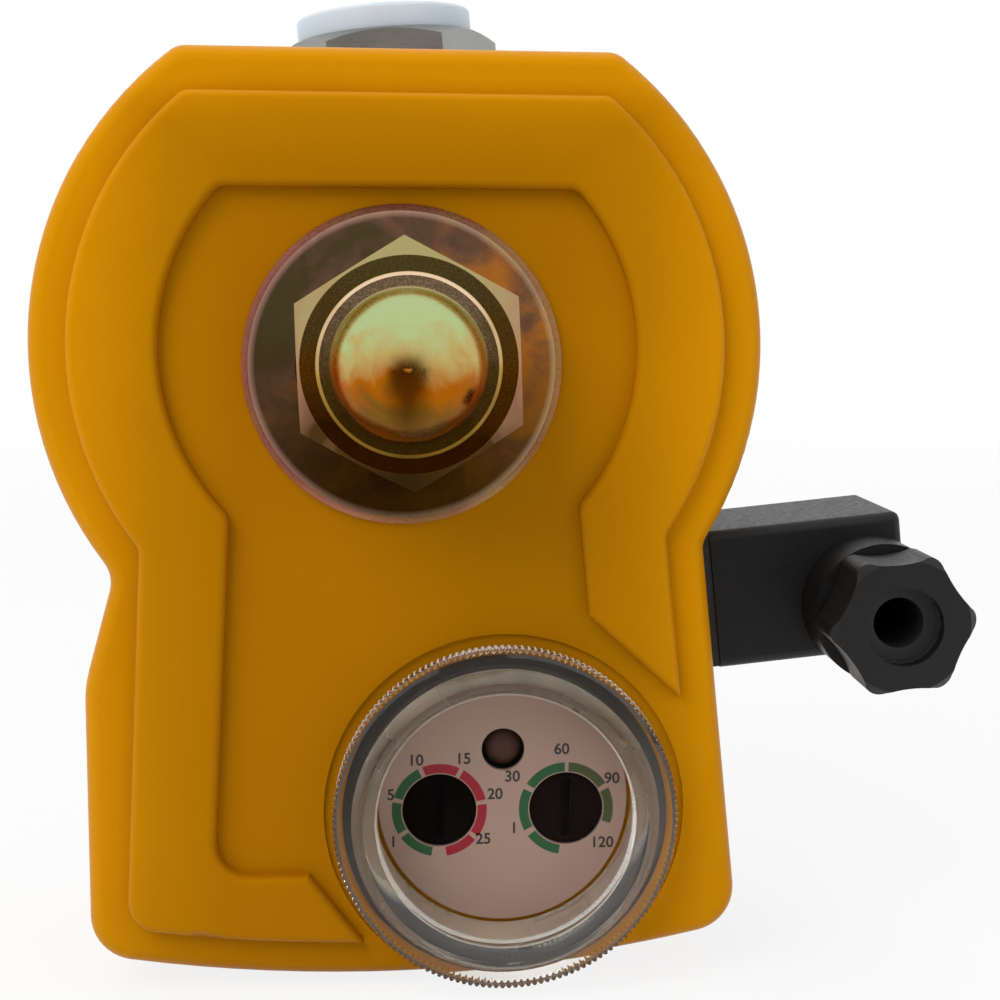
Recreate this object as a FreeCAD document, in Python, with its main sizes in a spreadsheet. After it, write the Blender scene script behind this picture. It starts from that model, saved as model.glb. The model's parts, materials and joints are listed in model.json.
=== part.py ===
import FreeCAD, Part
import math
import os

# Timer-controlled drain valve: a 2/2 solenoid valve on a pipe, with a moulded housing that
# holds the coil and the timer, swivels on the armature tube and is clamped by a dome nut.
# Millimetres, +Z up. The row origin is on the inlet port's axis, where its thread starts.

Vector = FreeCAD.Vector
Rotation = FreeCAD.Rotation
Placement = FreeCAD.Placement

doc = FreeCAD.newDocument("drain_valve")

# Driving dimensions: name, value, what it measures

SIZES = [
    # Moulded housing, seen from the front; heights and sides are from its reference axis
    ("head_radius", 42.05, "round head of the housing"),
    ("head_rise", 1.5, "centre of the round head above the reference axis"),
    ("head_top", 35.5, "flat top above the reference axis"),
    ("neck_drop", 21.0, "right neck corner below the reference axis"),
    ("neck_drop_left", 24.5, "left neck corner below the reference axis"),
    ("side_flare", 6.0, "flare of the lower right wall, degrees"),
    ("left_spread", 3.6, "left wall outside the left neck corner"),
    ("left_bend", 37.5, "where the left wall turns upright, below the reference axis"),
    ("foot_drop", 72.75, "lowest point of the bowed bottom below the reference axis"),
    ("bow_radius", 183.0, "bow of the bottom edge"),
    ("bow_shift", 3.85, "lowest point left of the reference axis"),
    ("housing_depth", 39.7, "front panel to back face"),
    ("foot_corner", 5.5, "bottom corner radius"),
    ("head_corner", 3.0, "top corner radius"),
    ("neck_round", 2.5, "round in the right neck corner"),
    ("neck_round_left", 4.0, "round in the left neck corner"),
    ("bend_round", 15.0, "round where the left wall turns upright"),
    ("edge_round", 1.8, "round of the front perimeter edge"),
    ("front_wall", 3.2, "front wall thickness"),
    ("side_wall", 2.8, "side wall thickness"),
    # Raised horseshoe band on the front
    ("band_inset", 4.7, "band's outer edge inside the side walls and the bottom"),
    ("band_top_inset", 5.2, "band's outer edge below the flat top"),
    ("band_width", 10.2, "width of the band's arms"),
    ("band_top_width", 10.5, "width of the band under the flat top"),
    ("band_neck_drop", 21.2, "where the left arm's outer edge leaves the round, below the reference axis"),
    ("band_foot", 8.2, "width of the band's bottom strip"),
    ("band_height", 2.0, "height of the band above the panel"),
    ("band_round", 0.9, "round of the band's top edges"),
    ("band_flare", 5.5, "flare of the right arm's inner edge, degrees"),
    ("band_corner", 4.0, "inner lower corner radius"),
    ("band_bend", 2.0, "round of the band's other corners"),
    ("band_strip", 10.9, "bottom strip from the left arm's inner edge to its cut end"),
    ("band_end_right", 34.25, "mean end of the right arm below the reference axis"),
    ("band_end_slant", 6.3, "slant of the strip's cut end"),
    ("band_tail_slant", 4.95, "half slant of the right arm's cut end"),
    # Back cover and its screws
    ("cover_thickness", 3.0, "back cover"),
    ("boss_radius", 3.2, "screw boss"),
    ("screw_radius", 1.5, "cover screw shank"),
    ("screw_head_radius", 2.7, "cover screw head"),
    ("screw_head_height", 1.6, "cover screw head"),
    ("screw_length", 12.0, "cover screw shank"),
    # Coil and armature tube
    ("coil_offset", 1.25, "coil axis right of the reference axis"),
    ("coil_rise", 0.3, "coil axis above the reference axis"),
    ("tube_radius", 8.0, "armature tube"),
    ("tube_wall", 0.8, "armature tube wall"),
    ("bobbin_wall", 1.25, "bobbin tube wall"),
    ("bobbin_flange_radius", 21.5, "bobbin flange"),
    ("bobbin_flange", 1.5, "bobbin flange thickness"),
    ("winding_radius", 20.4, "outside of the copper winding"),
    ("yoke_half_height", 26.0, "magnet frame, outside"),
    ("yoke_half_width", 18.0, "magnet frame"),
    ("yoke_plate", 3.0, "magnet frame plate"),
    ("seal_bead", 0.9, "cross-section radius of the O-rings"),
    # Armature
    ("core_length", 14.4, "fixed core inside the tube"),
    ("weld_inset", -0.4, "front end of the tube behind the panel"),
    ("stud_length", 12.0, "threaded stud in front of the panel"),
    ("stud_radius", 7.0, "M14 stud"),
    ("stroke", 2.5, "travel of the plunger"),
    ("ring_radius", 5.4, "shading ring, mean"),
    ("spring_radius", 3.4, "return spring, mean of the coil"),
    ("spring_wire", 0.4, "return spring wire radius"),
    ("spring_bore", 12.0, "depth of the spring pocket in the plunger"),
    ("spring_turns", 6.0, "turns of the return spring"),
    ("seat_disc_radius", 4.0, "rubber disc in the plunger"),
    ("seat_disc", 2.5, "rubber disc thickness"),
    ("flange_radius", 13.0, "flange of the armature tube"),
    ("flange_thickness", 3.5, "flange of the armature tube"),
    ("spigot_radius", 11.5, "threaded spigot of the armature tube"),
    ("spigot_length", 5.5, "threaded spigot of the armature tube"),
    # Dome nut and washer
    ("nut_flats", 24.0, "across the flats of the nut"),
    ("nut_hex", 10.2, "height of the hexagon"),
    ("nut_face_radius", 11.7, "circle left by the hexagon's front chamfer"),
    ("nut_twist", 2.2, "turn of the tightened nut, degrees"),
    ("collar_radius", 9.95, "collar under the dome"),
    ("collar_height", 1.2, "collar under the dome"),
    ("dome_radius", 8.4, "dome of the nut"),
    ("dome_straight", 1.0, "upright foot of the dome"),
    ("washer_radius", 18.2, "dished washer under the nut"),
    ("washer_bore", 8.2, "bore of the dished washer"),
    ("washer_shift", 0.93, "washer centre left of the coil axis"),
    ("washer_sag", 0.45, "washer centre below the coil axis"),
    ("washer_thickness", 1.6, "dished washer"),
    ("washer_rise", 1.2, "rise of the dished washer towards the nut"),
    # Timer window and dial
    ("timer_x", 12.15, "timer axis right of the reference axis"),
    ("timer_rise", 19.95, "timer axis above the lowest point of the bottom"),
    ("ring_recess_radius", 21.3, "shallow ring round the screw cap"),
    ("ring_recess", 0.6, "depth of the shallow ring"),
    ("knurl_radius", 20.1, "knurled rim of the screw cap"),
    ("knurl_depth", 0.35, "depth of the knurling"),
    ("knurl_teeth", 164.0, "teeth of the knurling"),
    ("rim_front", 4.6, "front of the knurled rim ahead of the panel"),
    ("bezel_radius", 17.9, "outside of the rounded bezel"),
    ("bezel_front", 5.4, "front of the bezel ahead of the panel"),
    ("window_radius", 15.2, "flat window of the cap"),
    ("window_thickness", 2.0, "flat window of the cap"),
    ("skirt_radius", 17.4, "threaded skirt of the cap"),
    ("skirt_wall", 1.7, "threaded skirt of the cap"),
    ("dial_depth", 5.2, "dial face behind the panel"),
    ("dial_thickness", 0.8, "dial plate"),
    ("dial_radius", 15.1, "dial plate"),
    ("well_floor", 2.0, "floor of the timer well"),
    ("well_wall", 2.4, "wall of the timer well"),
    ("well_opening", 13.2, "opening in the well's floor"),
    ("knob_spread", 7.7, "knob axis from the timer axis"),
    ("knob_drop", 1.35, "knob axes below the timer axis"),
    ("knob_radius", 4.4, "slotted knob"),
    ("knob_slot", 1.2, "slot width"),
    ("knob_slot_depth", 1.5, "slot depth"),
    ("shaft_radius", 2.0, "knob shaft"),
    ("shaft_length", 3.0, "knob shaft inside the potentiometer"),
    ("lamp_rise", 6.1, "status lamp above the timer axis"),
    ("lamp_radius", 2.5, "status lamp"),
    ("pot_side", 9.6, "potentiometer body"),
    ("pot_thickness", 4.6, "potentiometer body"),
    ("board_side", 27.0, "height of the timer board"),
    ("board_margin", 3.9, "timer board above the inside of the bottom"),
    ("board_gap", 1.3, "between the timer board and the screw boss"),
    ("board_thickness", 1.6, "timer board"),
    ("chip_height", 3.5, "relay block on the timer board"),
    # Cable connector on the right wall, form C with a small gland
    ("plug_drop", 30.1, "connector axis at the wall below the reference axis"),
    ("plug_depth", 22.5, "middle of the connector behind the panel"),
    ("plug_thickness", 21.0, "connector body, front to back"),
    ("plug_height", 17.4, "connector body, top to bottom"),
    ("plug_length", 24.3, "connector body along its axis"),
    ("plug_wall", 1.6, "connector body wall"),
    ("plug_round", 1.2, "connector body edge round"),
    ("base_thickness", 1.5, "socket plate on the wall"),
    ("plug_gasket", 1.0, "flat gasket"),
    ("pin_length", 9.0, "contact pins"),
    ("insert_length", 12.5, "terminal insert"),
    ("plug_screw_radius", 1.5, "connector screw"),
    ("plug_screw_head", 2.8, "connector screw head"),
    ("gland_offset", 21.8, "gland axis from the wall along the connector"),
    ("gland_sink", 2.3, "gland axis below the connector axis"),
    ("gland_radius", 8.5, "round boss of the gland"),
    ("gland_boss", 8.0, "length of the round boss"),
    ("gland_neck", 6.2, "threaded neck of the gland"),
    ("gland_neck_length", 6.5, "threaded neck of the gland"),
    ("gland_bore", 4.6, "cable bore of the gland nut"),
    ("gland_bush", 5.2, "outside of the rubber bush"),
    ("bush_bore", 3.0, "cable bore of the bush"),
    ("gland_flats", 15.0, "across the flats of the gland nut"),
    ("gland_nut_length", 8.4, "gland nut"),
    ("gland_gap", 0.8, "gap between the boss and the gland nut"),
    ("gland_hollow", 0.55, "hollow of the gland nut's flanks"),
    ("gland_lobe", 1.6, "round of the gland nut's corners"),
    ("gland_chamfer", 1.4, "chamfer at the front of the gland nut"),
    # Valve body on the pipe
    ("body_swivel", 5.3, "lean of the valve body against the housing, degrees"),
    ("port_flats", 27.0, "hexagon of both ports"),
    ("inlet_arm", 44.0, "coil axis to the inlet mouth"),
    ("outlet_arm", 36.0, "coil axis to the outlet mouth"),
    ("port_chamfer", 2.6, "width of the ports' 30 degree chamfer at the corners"),
    ("port_thread", 9.32, "minor radius of the pipe threads"),
    ("port_thread_length", 14.0, "length of the pipe threads"),
    ("inlet_recess", 5.0, "smooth recess in front of the inlet thread"),
    ("inlet_recess_radius", 10.8, "smooth recess in front of the inlet thread"),
    ("hub_radius", 19.0, "round hub of the body"),
    ("hub_back", 25.0, "hub behind the back of the housing"),
    ("passage", 3.4, "radius of the inner passages"),
    ("orifice", 2.0, "radius of the orifice"),
    ("nozzle_radius", 3.6, "outside of the seat nozzle"),
    ("nozzle_height", 2.6, "height of the seat nozzle"),
    ("chamber_depth", 9.0, "depth of the chamber in the hub"),
    # Dust plug in the inlet
    ("dust_flange", 12.25, "flange of the dust plug"),
    ("dust_thickness", 3.3, "flange of the dust plug"),
    ("dust_tail", 10.4, "tail of the dust plug"),
    ("dust_tail_length", 4.6, "tail of the dust plug"),
    ("dust_wall", 1.2, "wall of the dust plug"),
    ("dust_bore", 8.0, "bore of the dust plug's tail"),
    # Fits
    ("seat_gap", 0.1, "between faces that seat on each other"),
    ("side_gap", 0.3, "clearance between pieces side by side"),
    ("run_gap", 0.06, "radial running clearance"),
]

sheet = doc.addObject("Spreadsheet::Sheet", "Sizes")
for row, (alias, value, meaning) in enumerate(SIZES, start=1):
    sheet.set("A%d" % row, meaning)
    sheet.set("B%d" % row, repr(value))
    sheet.setAlias("B%d" % row, alias)
doc.recompute()


class Size:
    """A length or angle: its number places geometry, its text binds a property to the sheet."""

    def __init__(self, number, text):
        self.number = number
        self.text = text

    def _join(self, other, sign, number):
        return Size(number, "(%s %s %s)" % (self.text, sign, as_size(other).text))

    def __add__(self, other):
        return self._join(other, "+", self.number + as_size(other).number)

    def __sub__(self, other):
        return self._join(other, "-", self.number - as_size(other).number)

    def __mul__(self, other):
        return self._join(other, "*", self.number * as_size(other).number)

    def __truediv__(self, other):
        return self._join(other, "/", self.number / as_size(other).number)

    def __neg__(self):
        return Size(-self.number, "(0 - %s)" % self.text)


def as_size(value):
    return value if isinstance(value, Size) else Size(float(value), repr(float(value)))


def root(size):
    return Size(math.sqrt(size.number), "sqrt(%s)" % size.text)


def tangent(size):
    return Size(math.tan(math.radians(size.number)), "tan(%s * 1 deg)" % size.text)


def sine(size):
    return Size(math.sin(math.radians(size.number)), "sin(%s * 1 deg)" % size.text)


def cosine(size):
    return Size(math.cos(math.radians(size.number)), "cos(%s * 1 deg)" % size.text)


class Sheet:
    """Gives each cell as a Size, by its alias."""

    def __getattr__(self, alias):
        return Size(float(sheet.get(alias)), "Sizes.%s" % alias)


s = Sheet()
ZERO = as_size(0)

# Sizes that follow from the driving ones

cover_front = s.housing_depth - s.cover_thickness
body_front = s.housing_depth + s.side_gap
port_depth = body_front + s.port_flats / 2
flange_front = body_front - s.flange_thickness
screw_head_front = s.housing_depth - s.screw_head_height + s.seat_gap / 2
screw_tip = screw_head_front - s.screw_length
yoke_front = s.front_wall + s.seat_gap
yoke_back = flange_front - s.seat_gap
bobbin_front = yoke_front + s.yoke_plate + s.seat_gap
bobbin_back = yoke_back - s.yoke_plate - s.seat_gap
bobbin_bore = s.tube_radius + s.run_gap
bobbin_tube = bobbin_bore + s.bobbin_wall
core_back = s.weld_inset + s.core_length
tube_bore = s.tube_radius - s.tube_wall
chamber_floor = body_front + s.chamber_depth
seat_face = chamber_floor - s.nozzle_height
plunger_back = seat_face - s.seat_gap
plunger_front = core_back + s.stroke + s.seat_gap
nut_seat = s.washer_thickness + s.washer_rise
well_front_floor = s.dial_depth + s.dial_thickness + s.seat_gap
well_back = well_front_floor + s.well_floor
pot_front = well_back + s.seat_gap
board_front = pot_front + s.pot_thickness + s.seat_gap
skirt_back = well_front_floor - s.side_gap
rim_back = s.seat_gap - s.ring_recess
plug_start = s.base_thickness + s.plug_gasket
plug_end = plug_start + s.plug_length
plug_front = s.plug_depth - s.plug_thickness / 2
gland_front = plug_front - s.gland_boss
gland_nut_back = gland_front - s.gland_gap
gland_nut_front = gland_nut_back - s.gland_nut_length
thread_start = s.inlet_arm - s.inlet_recess

# Places of the groups of pieces in the row frame; the housing stands upright, the valve body
# leans about the coil axis

coil_x = thread_start * sine(s.body_swivel)
coil_y = -port_depth
coil_z = -(thread_start * cosine(s.body_swivel))
COIL = (coil_x, coil_y, coil_z)
HOUSING = (coil_x - s.coil_offset, coil_y, coil_z - s.coil_rise)
WASHER = (coil_x - s.washer_shift, coil_y, coil_z - s.washer_sag)


def beside(radius, height):
    """Half the width of a circle at a height from its centre."""
    return root(radius * radius - height * height)


neck_x = beside(s.head_radius, s.neck_drop + s.head_rise)
neck_left_x = beside(s.head_radius, s.neck_drop_left + s.head_rise)
left_x = neck_left_x + s.left_spread
left_slope = s.left_spread / (s.left_bend - s.neck_drop_left)
wall_x = neck_x + (s.plug_drop - s.neck_drop) * tangent(s.side_flare)
timer_drop = s.foot_drop - s.timer_rise
TIMER = (HOUSING[0] + s.timer_x, coil_y, HOUSING[2] - timer_drop)
PLUG = (HOUSING[0] + wall_x, coil_y, HOUSING[2] - s.plug_drop)
GLAND = (
    PLUG[0] + s.gland_offset * cosine(s.side_flare) + s.gland_sink * sine(s.side_flare),
    coil_y,
    PLUG[2] + s.gland_offset * sine(s.side_flare) - s.gland_sink * cosine(s.side_flare),
)

NODES = []


def place(obj, node, spot, lean=ZERO):
    """Names a finished piece and binds its placement; lean turns it to the left, seen from the front."""
    obj.Label = node
    if lean is not ZERO:
        obj.Placement = Placement(Vector(), Rotation(Vector(0, -1, 0), lean.number))
        obj.setExpression("Placement.Rotation.Angle", lean.text)
    for axis, size in zip("xyz", spot):
        obj.setExpression("Placement.Base.%s" % axis, size.text)
    NODES.append(obj)
    return obj


def place_housing(obj, node):
    return place(obj, node, HOUSING)


def place_coil(obj, node):
    return place(obj, node, COIL)


def place_valve(obj, node):
    return place(obj, node, COIL, s.body_swivel)


def place_timer(obj, node):
    return place(obj, node, TIMER)


def place_plug(obj, node):
    return place(obj, node, PLUG, s.side_flare)


def place_gland(obj, node):
    return place(obj, node, GLAND, s.side_flare)


# Sketches and features

def new_body(name):
    return doc.addObject("PartDesign::Body", name)


def plane(body, role):
    return [item for item in body.Origin.OriginFeatures if item.Role == role][0]


def new_sketch(body, name, role="XZ_Plane", offset=None):
    """A sketch on an origin plane of its body, moved along the plane's normal by offset."""
    sketch = body.newObject("Sketcher::SketchObject", name)
    sketch.AttachmentSupport = [(plane(body, role), "")]
    sketch.MapMode = "FlatFace"
    if offset is not None:
        sketch.setExpression("AttachmentOffset.Base.z", offset.text)
    return sketch


def pin_point(sketch, geo, pos, x, y):
    """Fixes one vertex of a sketch at x, y."""
    for axis, size, kind in ((-2, x, "DistanceX"), (-1, y, "DistanceY")):
        if size is ZERO:
            sketch.addConstraint(constraint("PointOnObject", geo, pos, axis))
            continue
        index = sketch.addConstraint(constraint(kind, -1, 1, geo, pos, size.number))
        sketch.setExpression("Constraints[%d]" % index, size.text)


def constraint(*values):
    import Sketcher
    return Sketcher.Constraint(*values)


def arc_between(start, end, radius):
    """The arc from start to end; a positive radius turns left, a negative one right."""
    chord = end - start
    half = chord.Length / 2
    rise = math.sqrt(max(radius * radius - half * half, 0.0))
    side = Vector(-chord.y, chord.x, 0).normalize() * (rise if radius > 0 else -rise)
    centre = (start + end) / 2 + side
    first, last = (start, end) if radius > 0 else (end, start)
    angles = [math.atan2(p.y - centre.y, p.x - centre.x) for p in (first, last)]
    if angles[1] < angles[0]:
        angles[1] += 2 * math.pi
    return Part.ArcOfCircle(Part.Circle(centre, Vector(0, 0, 1), abs(radius)), angles[0], angles[1])


def closed_loop(sketch, points, arcs=None):
    """A closed loop through points; arcs gives the signed radius of the side after a point."""
    arcs = arcs or {}
    ends = []
    for index, (x, y) in enumerate(points):
        nx, ny = points[(index + 1) % len(points)]
        start = Vector(x.number, y.number, 0)
        end = Vector(nx.number, ny.number, 0)
        if index in arcs:
            geo = sketch.addGeometry(arc_between(start, end, arcs[index].number))
            ends.append((geo, 1, 2) if arcs[index].number > 0 else (geo, 2, 1))
        else:
            geo = sketch.addGeometry(Part.LineSegment(start, end))
            ends.append((geo, 1, 2))
    for index, (geo, first, last) in enumerate(ends):
        follower = ends[(index + 1) % len(ends)]
        sketch.addConstraint(constraint("Coincident", geo, last, follower[0], follower[1]))
        pin_point(sketch, geo, first, *points[index])
        if index in arcs:
            radius = arcs[index]
            size = radius if radius.number > 0 else -radius
            place_in_list = sketch.addConstraint(constraint("Radius", geo, size.number))
            sketch.setExpression("Constraints[%d]" % place_in_list, size.text)
    return sketch


def circle(sketch, x, y, radius):
    geo = sketch.addGeometry(Part.Circle(Vector(x.number, y.number, 0), Vector(0, 0, 1), radius.number))
    pin_point(sketch, geo, 3, x, y)
    index = sketch.addConstraint(constraint("Radius", geo, radius.number))
    sketch.setExpression("Constraints[%d]" % index, radius.text)
    return sketch


def rectangle(sketch, low_x, low_y, high_x, high_y):
    return closed_loop(sketch, [(low_x, low_y), (high_x, low_y), (high_x, high_y), (low_x, high_y)])


def feature(body, kind, name, sketch, length=None, backwards=False):
    """A Pad, Pocket, Revolution or Groove; raises if a cut or pad changes nothing."""
    before = body.Shape.Volume if body.Tip is not None and not body.Shape.isNull() else 0.0
    item = body.newObject("PartDesign::%s" % kind, name)
    item.Profile = sketch
    if kind in ("Revolution", "Groove"):
        item.ReferenceAxis = (sketch, ["V_Axis"])
        item.Angle = 360.0
    else:
        item.setExpression("Length", length.text)
        item.Reversed = backwards
    doc.recompute()
    if abs(body.Shape.Volume - before) < 1e-3:
        raise RuntimeError("%s changes nothing" % name)
    return item


def turned(name, points, arcs=None):
    """A body turned about its Y axis; points are radius, place along Y."""
    body = new_body(name)
    sketch = closed_loop(new_sketch(body, name + "_profile", "XY_Plane"), points, arcs)
    feature(body, "Revolution", name + "_turned", sketch)
    return body


def edges_where(item, test):
    """Names of the feature's edges that pass the test."""
    found = []
    for index, edge in enumerate(item.Shape.Edges, start=1):
        if edge.Length > 1e-4 and test(edge):
            found.append("Edge%d" % index)
    return found


def dress(body, kind, name, base, edges, size):
    """A Fillet or Chamfer of the given size on the edges."""
    item = body.newObject("PartDesign::%s" % kind, name)
    item.Base = (base, edges)
    item.setExpression("Radius" if kind == "Fillet" else "Size", size.text)
    doc.recompute()
    if "Invalid" in item.State or not item.Shape.isValid():
        raise RuntimeError("%s can't be rounded" % name)
    return item


def along_y(edge):
    direction = edge.Vertexes[-1].Point - edge.Vertexes[0].Point
    return abs(direction.x) + abs(direction.z) < 1e-6 and abs(direction.y) > 0.5


def in_plane(y, edge):
    box = edge.BoundBox
    return abs(box.YMin - y) < 1e-4 and abs(box.YMax - y) < 1e-4


def bound(obj, **sizes):
    """Binds properties of a primitive to sizes."""
    for name, size in sizes.items():
        obj.setExpression(name, as_size(size).text)
    return obj


def shift(obj, x=ZERO, y=ZERO, z=ZERO, turn=None):
    """Places a primitive inside its piece; turn is an axis and an angle."""
    if turn is not None:
        obj.Placement = Placement(Vector(), Rotation(*turn))
    for axis, size in (("x", x), ("y", y), ("z", z)):
        obj.setExpression("Placement.Base.%s" % axis, size.text)
    return obj


LAY_BACK = (Vector(1, 0, 0), -90)
TURN_UP = (Vector(1, 0, 0), 0)
TURN_RIGHT = (Vector(0, 1, 0), 90)


def rod(name, radius, start, length, x=ZERO, z=ZERO):
    """A cylinder along +Y from start."""
    item = bound(doc.addObject("Part::Cylinder", name), Radius=radius, Height=length)
    return shift(item, x, start, z, LAY_BACK)


def post(name, radius, start, length, x=ZERO, y=ZERO):
    """A cylinder along +Z from start."""
    item = bound(doc.addObject("Part::Cylinder", name), Radius=radius, Height=length)
    return shift(item, x, y, start)


def bar(name, radius, start, length, y=ZERO, z=ZERO):
    """A cylinder along +X from start."""
    item = bound(doc.addObject("Part::Cylinder", name), Radius=radius, Height=length)
    return shift(item, start, y, z, TURN_RIGHT)


def block(name, low, high):
    """A box between two corners."""
    item = doc.addObject("Part::Box", name)
    bound(item, Length=high[0] - low[0], Width=high[1] - low[1], Height=high[2] - low[2])
    return shift(item, *low)


def fused(name, *shapes):
    item = doc.addObject("Part::MultiFuse", name)
    item.Shapes = list(shapes)
    return item


def cut(name, base, *tools):
    """The base without the tools, which are fused first when there are several."""
    item = doc.addObject("Part::Cut", name)
    item.Base = base
    item.Tool = tools[0] if len(tools) == 1 else fused(name + "_tools", *tools)
    return item


def common(name, first, second):
    item = doc.addObject("Part::Common", name)
    item.Base = first
    item.Tool = second
    return item


def group(name, *shapes):
    """Separate solids kept in one node, or one solid that keeps its own placement inside."""
    item = doc.addObject("Part::Compound", name)
    item.Links = list(shapes)
    return item


# Moulded housing

def under_head(radius, wall, drop, slope):
    """Where a wall meets the round head; it is at wall on the height drop and spreads by slope."""
    factor = slope * slope + 1
    reach = wall - (drop + s.head_rise) * slope
    depth = (root(factor * radius * radius - reach * reach) - reach * slope) / factor
    return reach + depth * slope, s.head_rise - depth


def bow_rise(bow, x):
    """Height of the bowed bottom above its lowest point at a distance x to the left."""
    return bow - beside(bow, x - s.bow_shift)


def housing_outline(sketch, inset):
    """The keyhole outline, inset by a margin: flat top, round head, necks, spread foot."""
    radius = s.head_radius - inset
    top = s.head_top - inset
    bow = s.bow_radius - inset
    bottom = -s.foot_drop + inset
    head_corner_x = beside(radius, top - s.head_rise)
    # right wall: sloping from the neck to the bow, which it meets at a rise above the lowest point
    flare = tangent(s.side_flare)
    wall = neck_x - inset / cosine(s.side_flare)
    corner_x, corner_z = under_head(radius, wall, s.neck_drop, flare)
    base_x = wall + (s.foot_drop - inset - s.neck_drop) * flare
    from_low = base_x + s.bow_shift
    lift = from_low * flare + bow
    factor = flare * flare + 1
    rise_right = (lift - root(lift * lift - factor * from_low * from_low)) / factor
    # left wall: sloping from the neck to the bend, then upright
    stretch = root(left_slope * left_slope + 1)
    left_corner_x, left_corner_z = under_head(radius, neck_left_x - inset * stretch, s.neck_drop_left, left_slope)
    bend = s.neck_drop_left + (s.left_spread + inset * (stretch - 1)) / left_slope
    points = [
        (-head_corner_x, top),
        (head_corner_x, top),
        (corner_x, corner_z),
        (base_x - rise_right * flare, bottom + rise_right),
        (-s.bow_shift, bottom),
        (-left_x + inset, bottom + bow_rise(bow, left_x - inset)),
        (-left_x + inset, -bend),
        (-left_corner_x, left_corner_z),
    ]
    return closed_loop(sketch, points, {1: -radius, 3: -bow, 4: -bow, 7: -radius})


# Raised band: its left arm's foot and the cut end of its bottom strip

band_foot_x = left_x - s.band_inset
band_inner_foot_x = band_foot_x - s.band_width
band_tip_x = band_inner_foot_x - s.band_strip
band_bottom = -s.foot_drop + s.band_inset
band_step = band_bottom + s.band_foot


def band_outline(sketch):
    """The raised horseshoe: inside the outline, open at the timer, with slanted cut ends."""
    outer = s.head_radius - s.band_inset
    inner = outer - s.band_width
    bow = s.bow_radius - s.band_inset
    outer_top = s.head_top - s.band_top_inset
    inner_top = outer_top - s.band_top_width
    outer_x = beside(outer, outer_top - s.head_rise)
    inner_x = beside(inner, inner_top - s.head_rise)
    neck_right = neck_x - s.band_inset / cosine(s.side_flare)
    neck_right_z = s.head_rise - beside(outer, neck_right)
    inner_right = neck_right - s.band_width
    inner_right_z = s.head_rise - beside(inner, inner_right)
    tail_low = s.band_end_right + s.band_tail_slant
    tail_high = s.band_end_right - s.band_tail_slant
    tail_x = neck_right + (neck_right_z + tail_low) * tangent(s.side_flare)
    tail_in_x = inner_right + (inner_right_z + tail_high) * tangent(s.band_flare)
    neck_left = beside(outer, s.band_neck_drop + s.head_rise)
    inner_left = neck_left - s.band_width
    inner_left_z = s.head_rise - beside(inner, inner_left)
    end_x = band_tip_x - s.band_end_slant
    points = [
        (-outer_x, outer_top),
        (outer_x, outer_top),
        (neck_right, neck_right_z),
        (tail_x, -tail_low),
        (tail_in_x, -tail_high),
        (inner_right, inner_right_z),
        (inner_x, inner_top),
        (-inner_x, inner_top),
        (-inner_left, inner_left_z),
        (-band_inner_foot_x, band_step),
        (-band_tip_x, band_step),
        (-end_x, band_bottom + bow_rise(bow, end_x)),
        (-band_foot_x, band_bottom + bow_rise(bow, band_foot_x)),
        (-neck_left, -s.band_neck_drop),
    ]
    return closed_loop(sketch, points, {1: -outer, 5: inner, 7: inner, 11: -bow, 13: -outer})


boss_right_x = neck_x - s.side_wall - s.boss_radius * 0.8
boss_left_x = left_x - s.side_wall - s.boss_radius * 1.4
boss_low_z = -s.foot_drop + s.boss_radius * 3.2
BOSS_SPOTS = (
    (-(s.head_radius * 0.62), s.head_top * 0.62),
    (s.head_radius * 0.62, s.head_top * 0.62),
    (-boss_left_x, boss_low_z),
    (boss_right_x, boss_low_z),
)


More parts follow.
